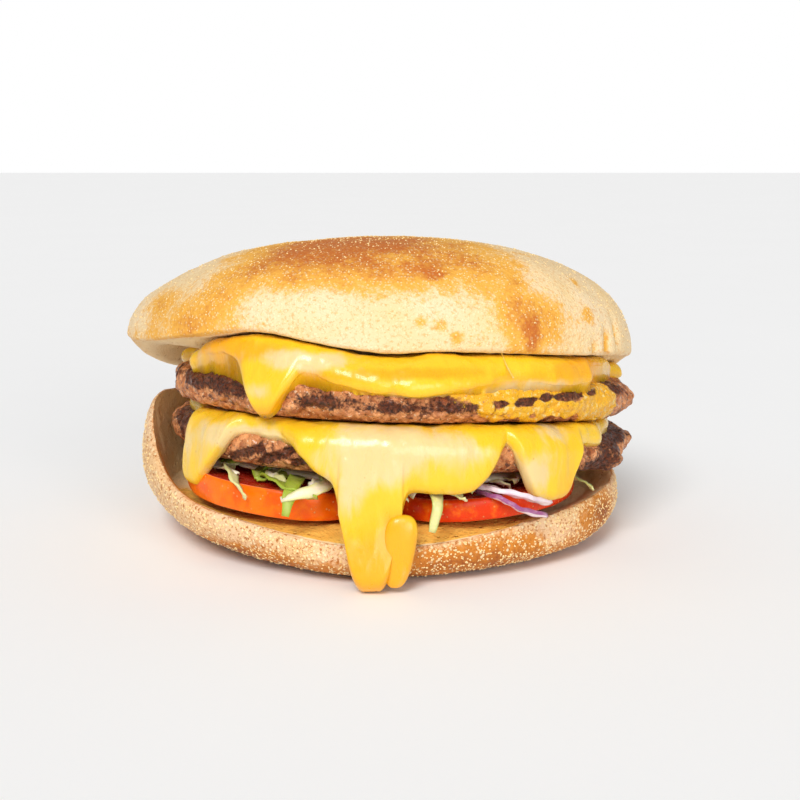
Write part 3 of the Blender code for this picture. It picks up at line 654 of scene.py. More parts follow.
# The shreds that show most: points of the route in mm with heights over the bed's middle, width in mm, how
# far it is turned from flat at either end, and how green it is, from 0 for white to 1
SHREDS = (
    ([(-34, -26, 0), (-36, -33, 0), (-34, -45.5, 0), (-30.5, -51.0, -3.4)], 3.0, (0, 55), 0.30),
    ([(-29, -34, 0), (-26, -44, 0), (-21, -54.5, -0.2), (-14, -57.2, -2.0)], 3.2, (0, 35), 0.95),
    ([(-19, -36, 0), (-19, -47, 0.2), (-20, -56.8, -0.6), (-21, -58.8, -5.4)], 3.6, (0, 20), 0.90),
    ([(-12, -36, 0), (-11, -46, 0.2), (-14, -56.2, -0.2), (-22, -58.4, -2.2)], 3.0, (10, 50), 0.15),
    ([(8, -36, 0), (10, -46, 0.0), (13.0, -57.0, -1.1), (11.6, -59.4, -7.4)], 3.2, (0, 15), 0.45),
    ([(5, -34, 0), (4.4, -45, 0.2), (3.4, -52.0, -0.2), (6.4, -55.6, -1.2)], 3.0, (10, 30), 0.20),
    ([(18, -32, 0), (18.5, -43, 0), (17, -52.5, -0.3), (19.4, -55.8, -1.6)], 3.0, (0, 25), 0.25),
    ([(38, -18, 0), (44, -26, 0), (49.5, -31, -0.8), (51.0, -34, -2.6)], 3.0, (10, 40), 0.45),
    ([(-38, -12, 0), (-42, -20, 0), (-39.5, -32, 0), (-33, -43.5, 0)], 2.6, (0, 0), 0.05),
    ([(38, 10, 0), (45, 14, 0), (51, 15, 0), (55, 18.5, 0)], 3.2, (0, 20), 0.60),
    ([(22, 30, 0), (25, 38, 0), (29, 42.5, 0), (27, 46, 0.3)], 3.2, (0, 20), 0.50),
    ([(-2, 32, 0), (-4, 41, 0), (-8, 48, 0.2), (-16, 47.5, 0.3)], 3.0, (0, 20), 0.70),
)
MORE_SHREDS = 64
SHRED_THICKNESS = 0.45
SHRED_RIPPLE = 0.28
CORE_NET = (96, 20)
CORE_GREEN = 0.15


def lettuce_bottom(x):
    """Height of the bed's underside, which follows the tops of the tomato slices."""
    left, right = TOMATO_SLICES["left"], TOMATO_SLICES["right"]
    side = ease(x, -2 * MM, 2 * MM)
    top = 2 * (left.half_sizes.z * (1 - side) + right.half_sizes.z * side)
    tilt = left.tilt * (1 - side) + right.tilt * side
    return TOMATO_BOTTOM + top + tilt * abs(x) + GAP


def lettuce_middle(x):
    """Height of the middle of the bed."""
    return (lettuce_bottom(x) + LOWER_PATTY_BOTTOM - GAP) / 2


def lettuce_core(azimuth, travel):
    """A ragged cushion between the tomato and the patty."""
    share, side = from_pole(travel)
    sweep = share * math.pi / 2
    ragged = 0.97 + 0.035 * lumps(polar(azimuth, 1, 0), 0.22, 9.0)
    radius = around(LETTUCE_RADIUS, azimuth) * MM * math.sin(sweep) * ragged
    point = polar(azimuth, radius, 0)
    high = LOWER_PATTY_BOTTOM - GAP
    half = (high - lettuce_bottom(point.x)) / 2
    point.z = high - half + half * side * math.cos(sweep) ** 0.6
    return point


def smooth_route(points, count):
    """Evenly numbered points on a smooth curve through the given ones."""
    ends = [2 * points[0] - points[1], *points, 2 * points[-1] - points[-2]]
    found = []
    for step in range(count):
        place = step / (count - 1) * (len(points) - 1)
        index = min(int(place), len(points) - 2)
        found.append(curved(place - index, *ends[index : index + 4]))
    return found


def carried_sides(path):
    """A level direction across the start of a path, carried along it without twisting."""
    side = (path[1] - path[0]).cross(Vector((0, 0, 1))).normalized()
    frames = []
    for index in range(len(path)):
        ahead = path[min(index + 1, len(path) - 1)] - path[max(index - 1, 0)]
        along = ahead.normalized()
        side = (side - along * side.dot(along)).normalized()
        frames.append((along, side))
    return frames


def add_strip(net, route, width, thickness, twist, ripple, seed, steps=22, columns=4):
    """Adds a thin, rippled strip along a route of points of the neat stack, in mm, and says of each of its
    vertices how far across the strip it is, from -1 to 1. twist is how far the strip is turned from flat
    at its start and at its end, in degrees."""
    path = smooth_route([Vector(point) * MM for point in route], steps + 1)
    frames = carried_sides(path)
    part = bmesh.new()
    bmesh.ops.create_grid(part, x_segments=steps, y_segments=columns, size=0.5)
    bmesh.ops.solidify(part, geom=part.faces[:], thickness=1)
    low = min(vertex.co.z for vertex in part.verts)
    across_all = []
    for vertex in part.verts:
        share = min(1.0, max(0.0, vertex.co.x + 0.5))
        index = round(share * steps)
        along, side = frames[index]
        angle = math.radians(twist[0] + (twist[1] - twist[0]) * share)
        across = side * math.cos(angle) + side.cross(along) * math.sin(angle)
        normal = across.cross(along)
        taper = 0.45 + 0.55 * math.sin(math.pi * share ** 0.8)
        taper *= 1 + 0.22 * noise.noise(Vector((share * 7, 3.1 * seed, vertex.co.y)))
        wave = ripple * MM * math.sin(share * 13 + seed + vertex.co.y * 2.4)
        frill = ripple * MM * (2 * vertex.co.y) ** 2 * math.sin(share * 31 + 2.3 * seed)
        layer = (vertex.co.z - low - 0.5) * thickness * MM
        across_all.append(2 * vertex.co.y)
        point = path[index] + across * (vertex.co.y * width * taper * MM)
        vertex.co = settle(point + normal * (layer + wave + frill))
    bmesh.ops.recalc_face_normals(part, faces=part.faces)
    join_in(net, part)
    return across_all


lettuce_net = turned(CORE_NET, lettuce_core)[0]
green = [CORE_GREEN] * len(lettuce_net.verts)
rib = [0.0] * len(lettuce_net.verts)
draw = random.Random(41)
routes = []
for route, width, twist, tint in SHREDS:
    placed = [(x, y, z + lettuce_middle(x * MM) / MM) for x, y, z in route]
    routes.append((placed, width, twist, tint))
for number in range(MORE_SHREDS):
    azimuth = number / MORE_SHREDS * 360 + draw.uniform(-4, 4)
    edge = around(LETTUCE_RADIUS, azimuth)
    lean = draw.uniform(-12, 12)
    droop = draw.uniform(0.2, 1.3)
    lift = draw.uniform(-0.4, 0.5)
    radii = (edge - 13, edge - 6, edge + draw.uniform(0, 1.5), edge + draw.uniform(1.6, 4.4))
    route = []
    for step, radius in enumerate(radii):
        point = polar(azimuth + lean * step / 3 + draw.uniform(-2, 2), radius * MM, 0)
        height = lettuce_middle(point.x) / MM + lift * (step > 0) - droop * (step == 3)
        route.append((point.x / MM, point.y / MM, height))
    routes.append((route, draw.uniform(2.0, 3.6), (draw.uniform(-25, 25), draw.uniform(-60, 60)),
                   draw.choice((0.05, 0.15, 0.2, 0.35, 0.5, 0.9))))
for seed, (route, width, twist, tint) in enumerate(routes):
    across = add_strip(lettuce_net, route, width, SHRED_THICKNESS, twist, SHRED_RIPPLE, seed)
    green += [tint] * len(across)
    rib += across


def lettuce_finish():
    """Crisp leaf, white to green by the attribute green, greener along its edges and bruised in spots."""
    leaf = Finish("lettuce", IOR=1.4, Coat_Weight=0.15, Coat_Roughness=0.15,
                  Subsurface_Weight=0.25, Subsurface_Radius=(0.8, 1.0, 0.3), Subsurface_Scale=1.2 * MM)
    tint = leaf.painted("green") + (leaf.cloud(3.0, 3.0) - 0.5) * 0.5
    edge = leaf.painted("rib")
    edge = edge * edge
    colour = leaf.mixed(leaf.grown(tint + edge * 0.25, 0.05, 0.45), (0.88, 0.80, 0.60), (0.74, 0.72, 0.32))
    colour = leaf.mixed(leaf.grown(tint + edge * 0.25, 0.45, 1.05), colour, (0.36, 0.46, 0.045))
    brown = leaf.grown(leaf.cloud(4.5, 3.0), 0.60, 0.74)
    colour = leaf.mixed(brown * 0.5, colour, (0.62, 0.38, 0.15))
    veins = leaf.cloud(0.8, 3.0, 0.6, 1.0)
    leaf.feed(Base_Color=colour, Roughness=leaf.spread_over(veins, 0, 1, 0.22, 0.5),
              Normal=leaf.bumped(veins, 0.12))
    return leaf


lettuce = add_piece("lettuce_bed", lettuce_net, lettuce_finish(), "lettuce_shreds")
paint(lettuce, {"green": green, "rib": rib})


# Red onion: two raw strips that come out over the right tomato's edge and hang down in front of it. The
# flesh is white and juicy, with a purple skin line along each edge.

# Each strip's piece and node, its route, width and thickness in mm, how far it is turned from flat at
# either end, and how wide its skin line is
ONION_STRIPS = (
    ("onion_strip_pale", "onion_pale",
     [(21, -47.0, 20.1), (28, -52.2, 19.6), (34, -50.8, 18.0), (39.6, -46.0, 16.2)], 2.6, 1.0, (0, 50), 0.02),
    ("onion_strip_purple", "onion_purple",
     [(22, -46.4, 18.7), (27, -52.6, 18.2), (32, -52.2, 15.8), (38.6, -47.8, 13.4)], 1.7, 0.9, (0, 70), 0.30),
)


def onion_finish():
    """White, juicy flesh that turns purple where the attribute edge is high."""
    onion = Finish("red_onion", IOR=1.4, Coat_Weight=0.3, Coat_Roughness=0.1,
                   Subsurface_Weight=0.3, Subsurface_Radius=(1.0, 0.6, 0.9), Subsurface_Scale=1.2 * MM)
    edge = onion.painted("edge") + (onion.cloud(2.0) - 0.5) * 0.4
    colour = onion.mixed(onion.cloud(1.6), (0.90, 0.80, 0.84), (0.84, 0.66, 0.74))
    colour = onion.mixed(onion.grown(edge, 0.78, 1.15), colour, (0.36, 0.10, 0.26))
    onion.feed(Base_Color=colour, Roughness=onion.spread_over(onion.cloud(1.0), 0, 1, 0.14, 0.3),
               Normal=onion.bumped(onion.cloud(0.7), 0.08))
    return onion


ONION_FINISH = onion_finish()
for seed, (name, node, route, width, thickness, twist, skin) in enumerate(ONION_STRIPS):
    onion_net = bmesh.new()
    across = add_strip(onion_net, route, width, thickness, twist, 0.12, seed + 0.5, steps=40, columns=8)
    onion = add_piece(name, onion_net, ONION_FINISH, node)
    paint(onion, {"edge": [abs(value) * 0.8 + skin for value in across]})


# The patties: minced beef pressed into discs and grilled on bars. Their sides are craggy, wet and
# granular, tan to reddish brown, with charred bars and edges. On the upper one, thin melted cheese has run
# over the right side, with holes where the char shows through.

PATTY_NET = (700, 138)
EDGE_ROUND = 8.5 * MM
EDGE_FULLNESS = 2.5
FACE_SHARE = 0.18
LOWER_CHEESE_BOTTOM = LOWER_PATTY_BOTTOM + PATTY_THICKNESS + GAP
PRESSED_CHEESE = 1.7 * MM
UPPER_PATTY_BOTTOM = LOWER_CHEESE_BOTTOM + PRESSED_CHEESE + GAP
UPPER_PATTY_OUTLINE = (64.4, 61.4, 57.4, 55.6, 54.2, 52.6, 52.6, 54.6, 57.0, 57.8, 58.8, 61.8)
LOWER_PATTY_OUTLINE = (64.0, 60.6, 57.0, 54.6, 53.4, 53.4, 54.0, 53.8, 56.0, 57.2, 58.6, 61.4)


class Knob:
    """A lump that stands out of a patty's side: azimuth, height over the middle, reach and size, in mm."""

    def __init__(self, azimuth, height, reach, size):
        self.azimuth = azimuth
        self.height = height * MM
        self.reach = reach * MM
        self.size = size * MM

    def push(self, azimuth, radius, height):
        """How far it pushes the side out at a height over the middle."""
        away = math.radians(turn_from(self.azimuth, azimuth)) * radius
        return self.reach * math.exp(-(away ** 2 + (height - self.height) ** 2) / self.size ** 2)


LOWER_KNOBS = (Knob(2, 0.3, 3.0, 4.6), Knob(338, -1.6, 3.0, 4.6), Knob(347, 1.0, -2.4, 2.6))
UPPER_KNOBS = (Knob(352, 0.3, 1.4, 4.6),)


def patty_shape(outline, bottom, knobs, seed):
    """Shape of a patty: flat faces and a full, craggy edge with its knobs."""
    middle = bottom + PATTY_THICKNESS / 2

    def shape(azimuth, travel):
        share, side = from_pole(travel)
        rim = around(outline, azimuth) * MM
        face = rim - EDGE_ROUND
        if share < FACE_SHARE:
            radius, level = face * share / FACE_SHARE, 1.0
        else:
            sweep = (share - FACE_SHARE) / (1 - FACE_SHARE) * math.pi / 2
            radius = rim - EDGE_ROUND * (1 - math.sin(sweep) ** (2 / EDGE_FULLNESS))
            level = math.cos(sweep) ** (2 / EDGE_FULLNESS)
        height = middle + side * level * PATTY_THICKNESS / 2
        point = polar(azimuth, radius, height)
        edge = ease(radius, face, rim)
        crag = 1.2 * MM * lumps(point, 9 * MM, seed) + 0.8 * MM * lumps(point, 4 * MM, seed + 2)
        crag = min(0.1 * MM, crag - 0.4 * MM)
        crag += sum(knob.push(azimuth, radius, height - middle) for knob in knobs)
        return point + polar(azimuth, crag * edge, 0)

    return shape


def mince(point, seed):
    """Relief of the mince in mm: rounded grains with deep cracks between them."""
    grain = 0.42 * lumps(point, 3.1 * MM, seed) + 0.34 * lumps(point, 1.4 * MM, seed + 1)
    cracks = abs(lumps(point, 4.4 * MM, seed + 2))
    return grain - 0.45 * ease(0.14 - cracks, 0, 0.14)


UPPER_CHAR = (
    Patch((-42.6, -32.8, 44.4), (9, 9, 2.8), 1.0),
    Patch((-33.2, -44.0, 44.2), (8, 8, 2.8), 1.0),
    Patch((-13.2, -55.1, 42.4), (9, 8, 2.0), 0.90),
    Patch((4.5, -58.1, 41.6), (8, 8, 1.8), 0.85),
    Patch((20.2, -54.2, 41.0), (7, 8, 1.7), 0.85),
    Patch((36.0, -46.8, 41.0), (8.0, 6.0, 1.6), 1.2),
    Patch((49.0, -34.0, 42.0), (7.4, 8.0, 2.2), 1.2),
    Patch((39.7, -43.8, 38.0), (2.0, 2.0, 0.9), 0.9),
    Patch((56.1, -20.5, 39.2), (4.0, 6.0, 3.0), 0.7),
    Patch((36.0, -46.0, 34.4), (9.0, 6.0, 1.8), 0.8),
)
FILM_HOLES = (
    Patch((27.5, -51.6, 41.3), (2.0, 3.0, 0.9), 1.0),
    Patch((33.6, -48.6, 41.0), (3.4, 3.4, 1.0), 1.5),
    Patch((38.0, -45.2, 41.4), (1.0, 2.0, 1.1), 1.1),
    Patch((43.4, -41.0, 41.2), (4.2, 3.8, 1.2), 1.5),
    Patch((47.4, -37.4, 42.2), (1.2, 2.0, 1.6), 1.1),
    Patch((51.6, -31.6, 43.0), (3.8, 4.2, 1.6), 1.5),
    Patch((51.0, -33.2, 40.4), (2.4, 2.6, 0.8), 1.1),
    Patch((36.0, -47.0, 36.4), (2.4, 2.4, 1.2), 0.9),
)
LOWER_CHAR = (
    Patch((-50.0, -20.0, 33.0), (8, 12, 6), 0.85),
    Patch((-40.4, -39.6, 30.6), (3.2, 3.2, 2.0), 0.9),
    Patch((60.0, -12.0, 28.0), (9, 13, 4.6), 1.30),
    Patch((53.0, -30.0, 22.0), (8, 10, 3.6), 0.95),
)

# Charred bars across the lower patty's front left: the middle in mm, how far a bar runs along the rim for
# each mm that it rises, its half length and its half width
GRILL_BARS = (
    ((-30.7, 29.0), 2.6, 4.6, 1.3),
    ((-23.6, 28.8), 2.2, 4.6, 1.5),
    ((-17.0, 28.6), 2.6, 3.0, 1.1),
    ((-38.5, 31.2), 2.0, 3.6, 1.8),
)


def lower_char(azimuth, travel, point):
    """Char of the lower patty: its dark left end, bars at the front and burnt knobs on the right."""
    value = patched(LOWER_CHAR, point)
    if 180 < azimuth < 270:
        for (x, z), lean, length, width in GRILL_BARS:
            along = point.x / MM - x
            away = point.z / MM - z - along / lean
            value += 1.25 * math.exp(-((along / length) ** 4) - (away / width) ** 2)
    bars = math.sin(azimuth * 0.62 + point.z / MM * 0.55) if 20 < azimuth < 190 else 0
    return value + 0.7 * ease(bars, 0.55, 0.95) + 0.25 * ease(0.5 - travel, -0.02, 0.12)


def upper_char(azimuth, travel, point):
    """Char of the upper patty: along its upper edge at the front, and in bars at the back."""
    bars = math.sin(azimuth * 0.55 + point.z / MM * 0.5) if azimuth < 200 else 0
    value = patched(UPPER_CHAR, point) + 0.6 * ease(bars, 0.55, 0.95)
    return value + 0.22 * ease(0.5 - travel, -0.02, 0.12)


def upper_film(azimuth, travel, point):
    """Where thin cheese covers the upper patty's right side. It ends low down in scallops and drips, and
    reaches the patty's underside only at the far right."""
    height = point.z / MM
    sector = ease(azimuth + (height - 38) * 1.6 + 5 * lumps(point, 3 * MM, 54.0), 289, 303)
    sector *= ease(azimuth, 341, 333)
    end = 37.0 - 4.2 * ease(azimuth, 316, 328) + 3.2 * lumps(polar(azimuth, 0.06, 0), 4.6 * MM, 55.0)
    low = ease(height, end - 0.7, end + 0.7)
    slant = Vector((point.x + 0.8 * point.z, point.y, point.z * 2.2))
    broken = 0.55 * lumps(slant, 3.2 * MM, 51.0) + 0.40 * lumps(point, 1.8 * MM, 52.0)
    value = sector * (0.95 + broken) * low - patched(FILM_HOLES, point) * sector
    return max(0.0, min(1.0, value))


def beef_finish():
    """Grains of browned mince with dark gaps painted as shade between them, and specks of fat that are partly
    painted highlights, burnt by the attribute char, and covered by melted cheese where the attribute film
    says, with pale spots on its knobs painted as highlights."""
    beef = Finish("grilled_beef", IOR=1.42, Specular_IOR_Level=0.35, Coat_Roughness=0.08)
    swirl = beef.node("ShaderNodeTexNoise", {}, {"Vector": beef.place, "Scale": 1 / (1.6 * MM)}, "Color")
    offset = (1.8 * MM,) * 3
    bent = beef.node("ShaderNodeVectorMath", {"operation": "MULTIPLY_ADD"}, (swirl, offset, beef.place))
    grains = beef.cells(1.25, place=bent)
    grain_tone = beef.cells(1.25, output="Color", place=bent)
    fine = beef.cloud(0.8, 4.0, 0.65)
    wide = beef.cloud(6.0, 3.0, 0.6)
    colour = beef.mixed(grain_tone, (0.40, 0.115, 0.036), (0.96, 0.43, 0.170))
    colour = beef.mixed(beef.grown(wide, 0.46, 0.66) * 0.8, colour, (0.27, 0.056, 0.014))
    # Darker between the grains, as painted shade in the gaps.
    painted_gap_shade = beef.grown(grains, 0.55, 0.80) * beef.grown(beef.cloud(2.6), 0.42, 0.60)
    colour = beef.mixed(painted_gap_shade * 0.9, colour, (0.10, 0.026, 0.010))
    # Pale specks of fat, partly painted highlights on the wet fat.
    fat = beef.grown(beef.cloud(0.9, 3.0), 0.62, 0.70)
    colour = beef.mixed(fat * 0.75, colour, (0.98, 0.72, 0.46))
    char = beef.painted("char") + (wide - 0.5) * 1.4 + (fine - 0.5) * 1.1
    burnt = beef.grown(char, 0.26, 0.70)
    dark = beef.mixed(beef.grown(fine, 0.35, 0.65), (0.150, 0.032, 0.009), (0.016, 0.004, 0.002))
    colour = beef.mixed(burnt * 0.95, colour, dark)
    film = beef.grown(beef.painted("film") + (fine - 0.5) * 0.9, 0.32, 0.58)
    run = beef.mixed(beef.cloud(2.2, 3.0), (0.98, 0.60, 0.020), (0.88, 0.34, 0.006))
    # Pale spots on the film's knobs are painted highlights.
    run = beef.mixed(beef.grown(beef.cloud(1.2, 2.0), 0.56, 0.68) * 0.75, run, (0.96, 0.76, 0.30))
    colour = beef.mixed(film * 0.96, colour, run)
    glints = beef.grown(beef.cloud(1.3, 3.0, 0.6), 0.52, 0.64)
    wet = beef.spread_over(beef.cloud(2.2, 3.0), 0.3, 0.7, 0.32, 0.60) - glints * 0.20 - film * 0.10
    height = beef.grown(grains, 0.8, 0.0) * 0.45 + fine * 1.0 + beef.cloud(0.4, 2.0) * 0.3
    beef.feed(Base_Color=colour, Roughness=wet, Coat_Weight=glints * 0.5 + film * 0.2,
              Normal=beef.bumped(height, 0.46))
    return beef


BEEF_FINISH = beef_finish()


def lower_relief(azimuth, travel, point):
    """Mince on the side, sunk where it is charred."""
    side = ease(min(travel, 1 - travel), 0.10, 0.30)
    return (mince(point, 61.0) - 0.5 * ease(lower_char(azimuth, travel, point), 0.5, 1.1)) * side * MM


def upper_relief(azimuth, travel, point):
    """Mince on the side, with the film of cheese standing out over it in soft knobs."""
    side = ease(min(travel, 1 - travel), 0.10, 0.30)
    film = upper_film(azimuth, travel, point)
    knobby = 0.34 + 0.22 * lumps(point, 1.9 * MM, 53.0)
    return (mince(point, 67.0) * (1 - 0.45 * film) + knobby * ease(film, 0.3, 0.6)) * side * MM


for name, node, shape, relief, char, film in (
    ("beef_lower", "patty_lower", patty_shape(LOWER_PATTY_OUTLINE, LOWER_PATTY_BOTTOM, LOWER_KNOBS, 11.0),
     lower_relief, lower_char, lambda azimuth, travel, point: 0.0),
    ("beef_upper", "patty_upper", patty_shape(UPPER_PATTY_OUTLINE, UPPER_PATTY_BOTTOM, UPPER_KNOBS, 17.0),
     upper_relief, upper_char, upper_film),
):
    patty_net, patty_masks = turned(PATTY_NET, shape, relief, {"char": char, "film": film})
    patty = add_piece(name, patty_net, BEEF_FINISH, node)
    paint(patty, patty_masks)


# The cheese: a processed slice melted over each patty's edge, hanging in lobes and drips. The lower one
# has run right down the front to the table, with a second fold beside that drip. It is smooth and glossy,
# paler where it has mixed with fat and deeper yellow where it is thick. Its hanging edges, and the upper
# slice's top under the crown's rim, are painted a deeper orange as shade.

# How fine the nets of a slice and of the fold are, how much closer their segments stand at the front, and
# the share of the upper one's rings on its level part, which shows under the crown
CHEESE_NET = (620, 140)
FOLD_NET = (64, 48)
LOWER_CROWD = 0.45
UPPER_CROWD = 0.3
UPPER_FLAT_SHARE = 0.34

PRESSED_SHARE = 0.9
UPPER_CHEESE_BOTTOM = UPPER_PATTY_BOTTOM + PATTY_THICKNESS + GAP
DRIP_TIP = 0.15 * MM
FRONT_CLEAR = 58.9 * MM
SUNK = 1.5 * MM
LIP_INSET = 0.975
CROWN_SEAT = UPPER_CHEESE_BOTTOM + CHEESE_THICKNESS + GAP
CROWN_OUTLINE = (64.4, 64.2, 60.2, 58.2, 60.0, 64.4, 64.4, 60.4, 56.0, 54.4, 56.4, 61.4)
CROWN_RIM = (46.4, 42.8, 42.2, 42.8, 43.0, 42.6, 42.2, 41.6, 40.6, 38.6, 37.0, 40.6,
             46.0, 46.4, 47.6, 49.0, 50.6, 48.9, 47.6, 48.3, 48.4, 48.3, 48.1, 47.6)


class Drip:
    """A tongue of melted cheese: its azimuth, half its width in degrees, how far down it reaches in mm
    below the slice's own edge, how square its end is, and how many degrees aside its end has run."""

    def __init__(self, azimuth, half_width, reach, square=2.0, lean=0.0):
        self.azimuth = azimuth
        self.half_width = half_width
        self.reach = reach * MM
        self.square = square
        self.lean = lean

    def drop(self, azimuth):
        """How far the tongue hangs down at an azimuth."""
        away = abs(turn_from(self.azimuth, azimuth)) / self.half_width
        return self.reach * math.exp(-(away ** (2 * self.square)) * 0.7)

    def aside(self, azimuth, below):
        """Degrees that a point has run aside, at a depth below the slice's level."""
        away = abs(turn_from(self.azimuth, azimuth)) / self.half_width
        return self.lean * math.exp(-(away / 1.7) ** 2) * ease(below, 0, self.reach)


LOWER_DRIPS = (
    Drip(224, 6.4, 13.4, 1.7, -7.0),
    Drip(262, 9, 8.4, 1.4),
    Drip(277.5, 18, 10.4, 4.0),
    Drip(268.2, 6.6, 30.2, 1.8),
    Drip(310.2, 7.6, 12.6, 2.2),
    Drip(62, 8, 9),
    Drip(98, 11, 6.5),
)
UPPER_DRIPS = (
    Drip(243.8, 4.5, 7.4, 1.3),
    Drip(276, 18, 1.4),
    Drip(30, 10, 4.5),
    Drip(75, 8, 6.0),
    Drip(110, 9, 2.6),
    Drip(165, 8, 2.8),
)

# Where a slice stops short of the patty's edge: azimuth and half the width, in degrees
LOWER_BARE = ((174, 45), (352, 22))
UPPER_BARE = ((345, 20), (186, 28))


class Drape:
    """The line a slice follows at one azimuth: out over the patty, round its edge and straight down."""

    STEPS = 26

    def __init__(self, azimuth, outline, bottom, end):
        rim = around(outline, azimuth) * MM + GAP
        half = PATTY_THICKNESS / 2
        self.points = [(0.0, bottom)]
        for step in range(self.STEPS + 1):
            sweep = step / self.STEPS * math.pi / 2
            inset = 1 - math.sin(sweep) ** (2 / EDGE_FULLNESS)
            level = math.cos(sweep) ** (2 / EDGE_FULLNESS)
            self.points.append((rim - EDGE_ROUND * inset, bottom - half * (1 - level)))
        clear = max(rim, FRONT_CLEAR) if end < 15 * MM else rim
        self.points.append((clear, bottom - PATTY_THICKNESS - 2 * MM))
        self.points.append((clear, DRIP_TIP))
        self.trim(end)

    def trim(self, end):
        """Cuts the line off at the height end, and measures its length up to each point."""
        kept = [self.points[0]]
        for before, after in zip(self.points, self.points[1:]):
            if after[1] <= end < before[1]:
                share = (before[1] - end) / (before[1] - after[1])
                kept.append((before[0] + (after[0] - before[0]) * share, end))
                break
            kept.append(after)
        self.points = kept
        self.lengths = [0.0]
        for before, after in zip(kept, kept[1:]):
            self.lengths.append(self.lengths[-1] + math.dist(before, after))

    def at(self, distance):
        """The point at a distance along the line, and the direction out of the patty there."""
        index = 1
        while index < len(self.points) - 1 and distance > self.lengths[index]:
            index += 1
        (radius, height), (next_radius, next_height) = self.points[index - 1 : index + 1]
        out, up = next_radius - radius, next_height - height
        span = max(self.lengths[index] - self.lengths[index - 1], 1e-9)
        share = (distance - self.lengths[index - 1]) / span
        return (radius + out * share, height + up * share), (-up / span, out / span)


def spread(share, flat, total, flat_share):
    """Distance along a drape: one part on the flat, the rest closer towards the shoulder and the end."""
    if share < flat_share:
        return flat * share / flat_share
    part = (share - flat_share) / (1 - flat_share)
    power = 1 + 1.2 * ease(total - flat, 8 * MM, 40 * MM)
    return flat + (total - flat) * math.sin(part ** power * math.pi / 2)


def crown_underside(azimuth, radius):
    """Height of the crown's underside: level over the layers, and turned up or down to the rim. At the
    front it turns up well inside the rim, where the upper cheese swells out from under it."""
    outline = around(CROWN_OUTLINE, azimuth) * MM
    rim = around(CROWN_RIM, azimuth) * MM
    clear = around(UPPER_PATTY_OUTLINE, azimuth) * MM + CHEESE_THICKNESS + GAP
    if rim > CROWN_SEAT:
        clear -= EDGE_ROUND * 1.5
    front = ease(azimuth, 206, 226) * ease(352 - azimuth, 0, 14)
    start = min(clear, outline * 0.93) * (1 - front) + outline * 0.62 * front
    end = outline * LIP_INSET * (1 - front) + outline * 0.86 * front
    return CROWN_SEAT + (rim - CROWN_SEAT) * ease(radius, start, end)


def swelling(azimuth, radius):
    """How much the upper cheese rises to meet the underside, sloping down from the crown's rim."""
    rise = crown_underside(azimuth, radius) - CROWN_SEAT
    outer = around(UPPER_PATTY_OUTLINE, azimuth) * MM + CHEESE_THICKNESS
    inner = min(around(CROWN_OUTLINE, azimuth) * MM * 0.95, outer - 4 * MM)
    return max(rise, 0.0) * (1 - ease(radius, inner, outer)) * ease(azimuth, 206, 222)


def cheese_shape(outline, bottom, pressed, drips, bare, seed, flat_share=0.1, swell=None):
    """Shape of a melted slice: pressed is its thickness where the layer above lies on it. Its inner side
    is sunk into the patty that it is stuck to. flat_share is the net's share on the level part, and
    swell says how much the top rises, or is None."""
    drapes = {}

    def shape(azimuth, travel):
        if azimuth not in drapes:
            fall = 1.3 * MM + 0.9 * MM * lumps(polar(azimuth, 0.03, 0), 12 * MM, seed)
            fall += 0.25 * MM * lumps(polar(azimuth, 0.03, 0), 2.2 * MM, seed)
            for middle, half_width in bare:
                away = abs(turn_from(middle, azimuth))
                fall *= ease(away, half_width * 0.75, half_width)
            edge = bottom - 0.15 * MM - fall
            end = edge - sum(drip.drop(azimuth) ** 4 for drip in drips) ** 0.25
            drapes[azimuth] = Drape(azimuth, outline, bottom, max(end, DRIP_TIP))
        drape = drapes[azimuth]
        total = drape.lengths[-1]
        share, side = from_pole(travel)
        flat = around(outline, azimuth) * MM - EDGE_ROUND
        distance = spread(share, flat, total, flat_share)
        (radius, height), (out, up) = drape.at(distance)
        if side < 0:
            sunk = SUNK * ease(height, bottom - PATTY_THICKNESS, bottom - PATTY_THICKNESS / 2)
            radius -= out * sunk
            height -= up * sunk
        else:
            hang = ease(distance, flat, flat + 7 * MM)
            heavy = 3.2 * MM * ease(-height, -15 * MM, -3 * MM)
            thick = pressed * PRESSED_SHARE
            thick += (CHEESE_THICKNESS + 0.3 * MM - thick) * hang + heavy
            left = max(total - distance, 0.0)
            bead = thick / 2 + 1.2 * MM
            if left < bead:
                thick *= math.sqrt(max(0.0, 1 - (1 - left / bead) ** 2))
            radius += out * thick
            height += up * thick
            if swell:
                height += swell(azimuth, radius)
        aside = sum(drip.aside(azimuth, bottom - height) for drip in drips if drip.lean)
        return polar(azimuth + aside, radius, max(height, DRIP_TIP if distance > flat else height))

    return shape


def cheese_relief(azimuth, travel, point):
    """Soft swells and runs, stretched downwards."""
    if travel > 0.5:
        return 0.0
    stretched = Vector((point.x, point.y, point.z * 0.45))
    swell = 0.55 * lumps(stretched, 7.5 * MM, 71.0) + 0.24 * lumps(stretched, 3.2 * MM, 72.0)
    swell += 0.10 * lumps(stretched, 1.5 * MM, 73.0)
    return swell * MM * ease(travel, 0.03, 0.10) * ease(0.5 - travel, 0, 0.04)


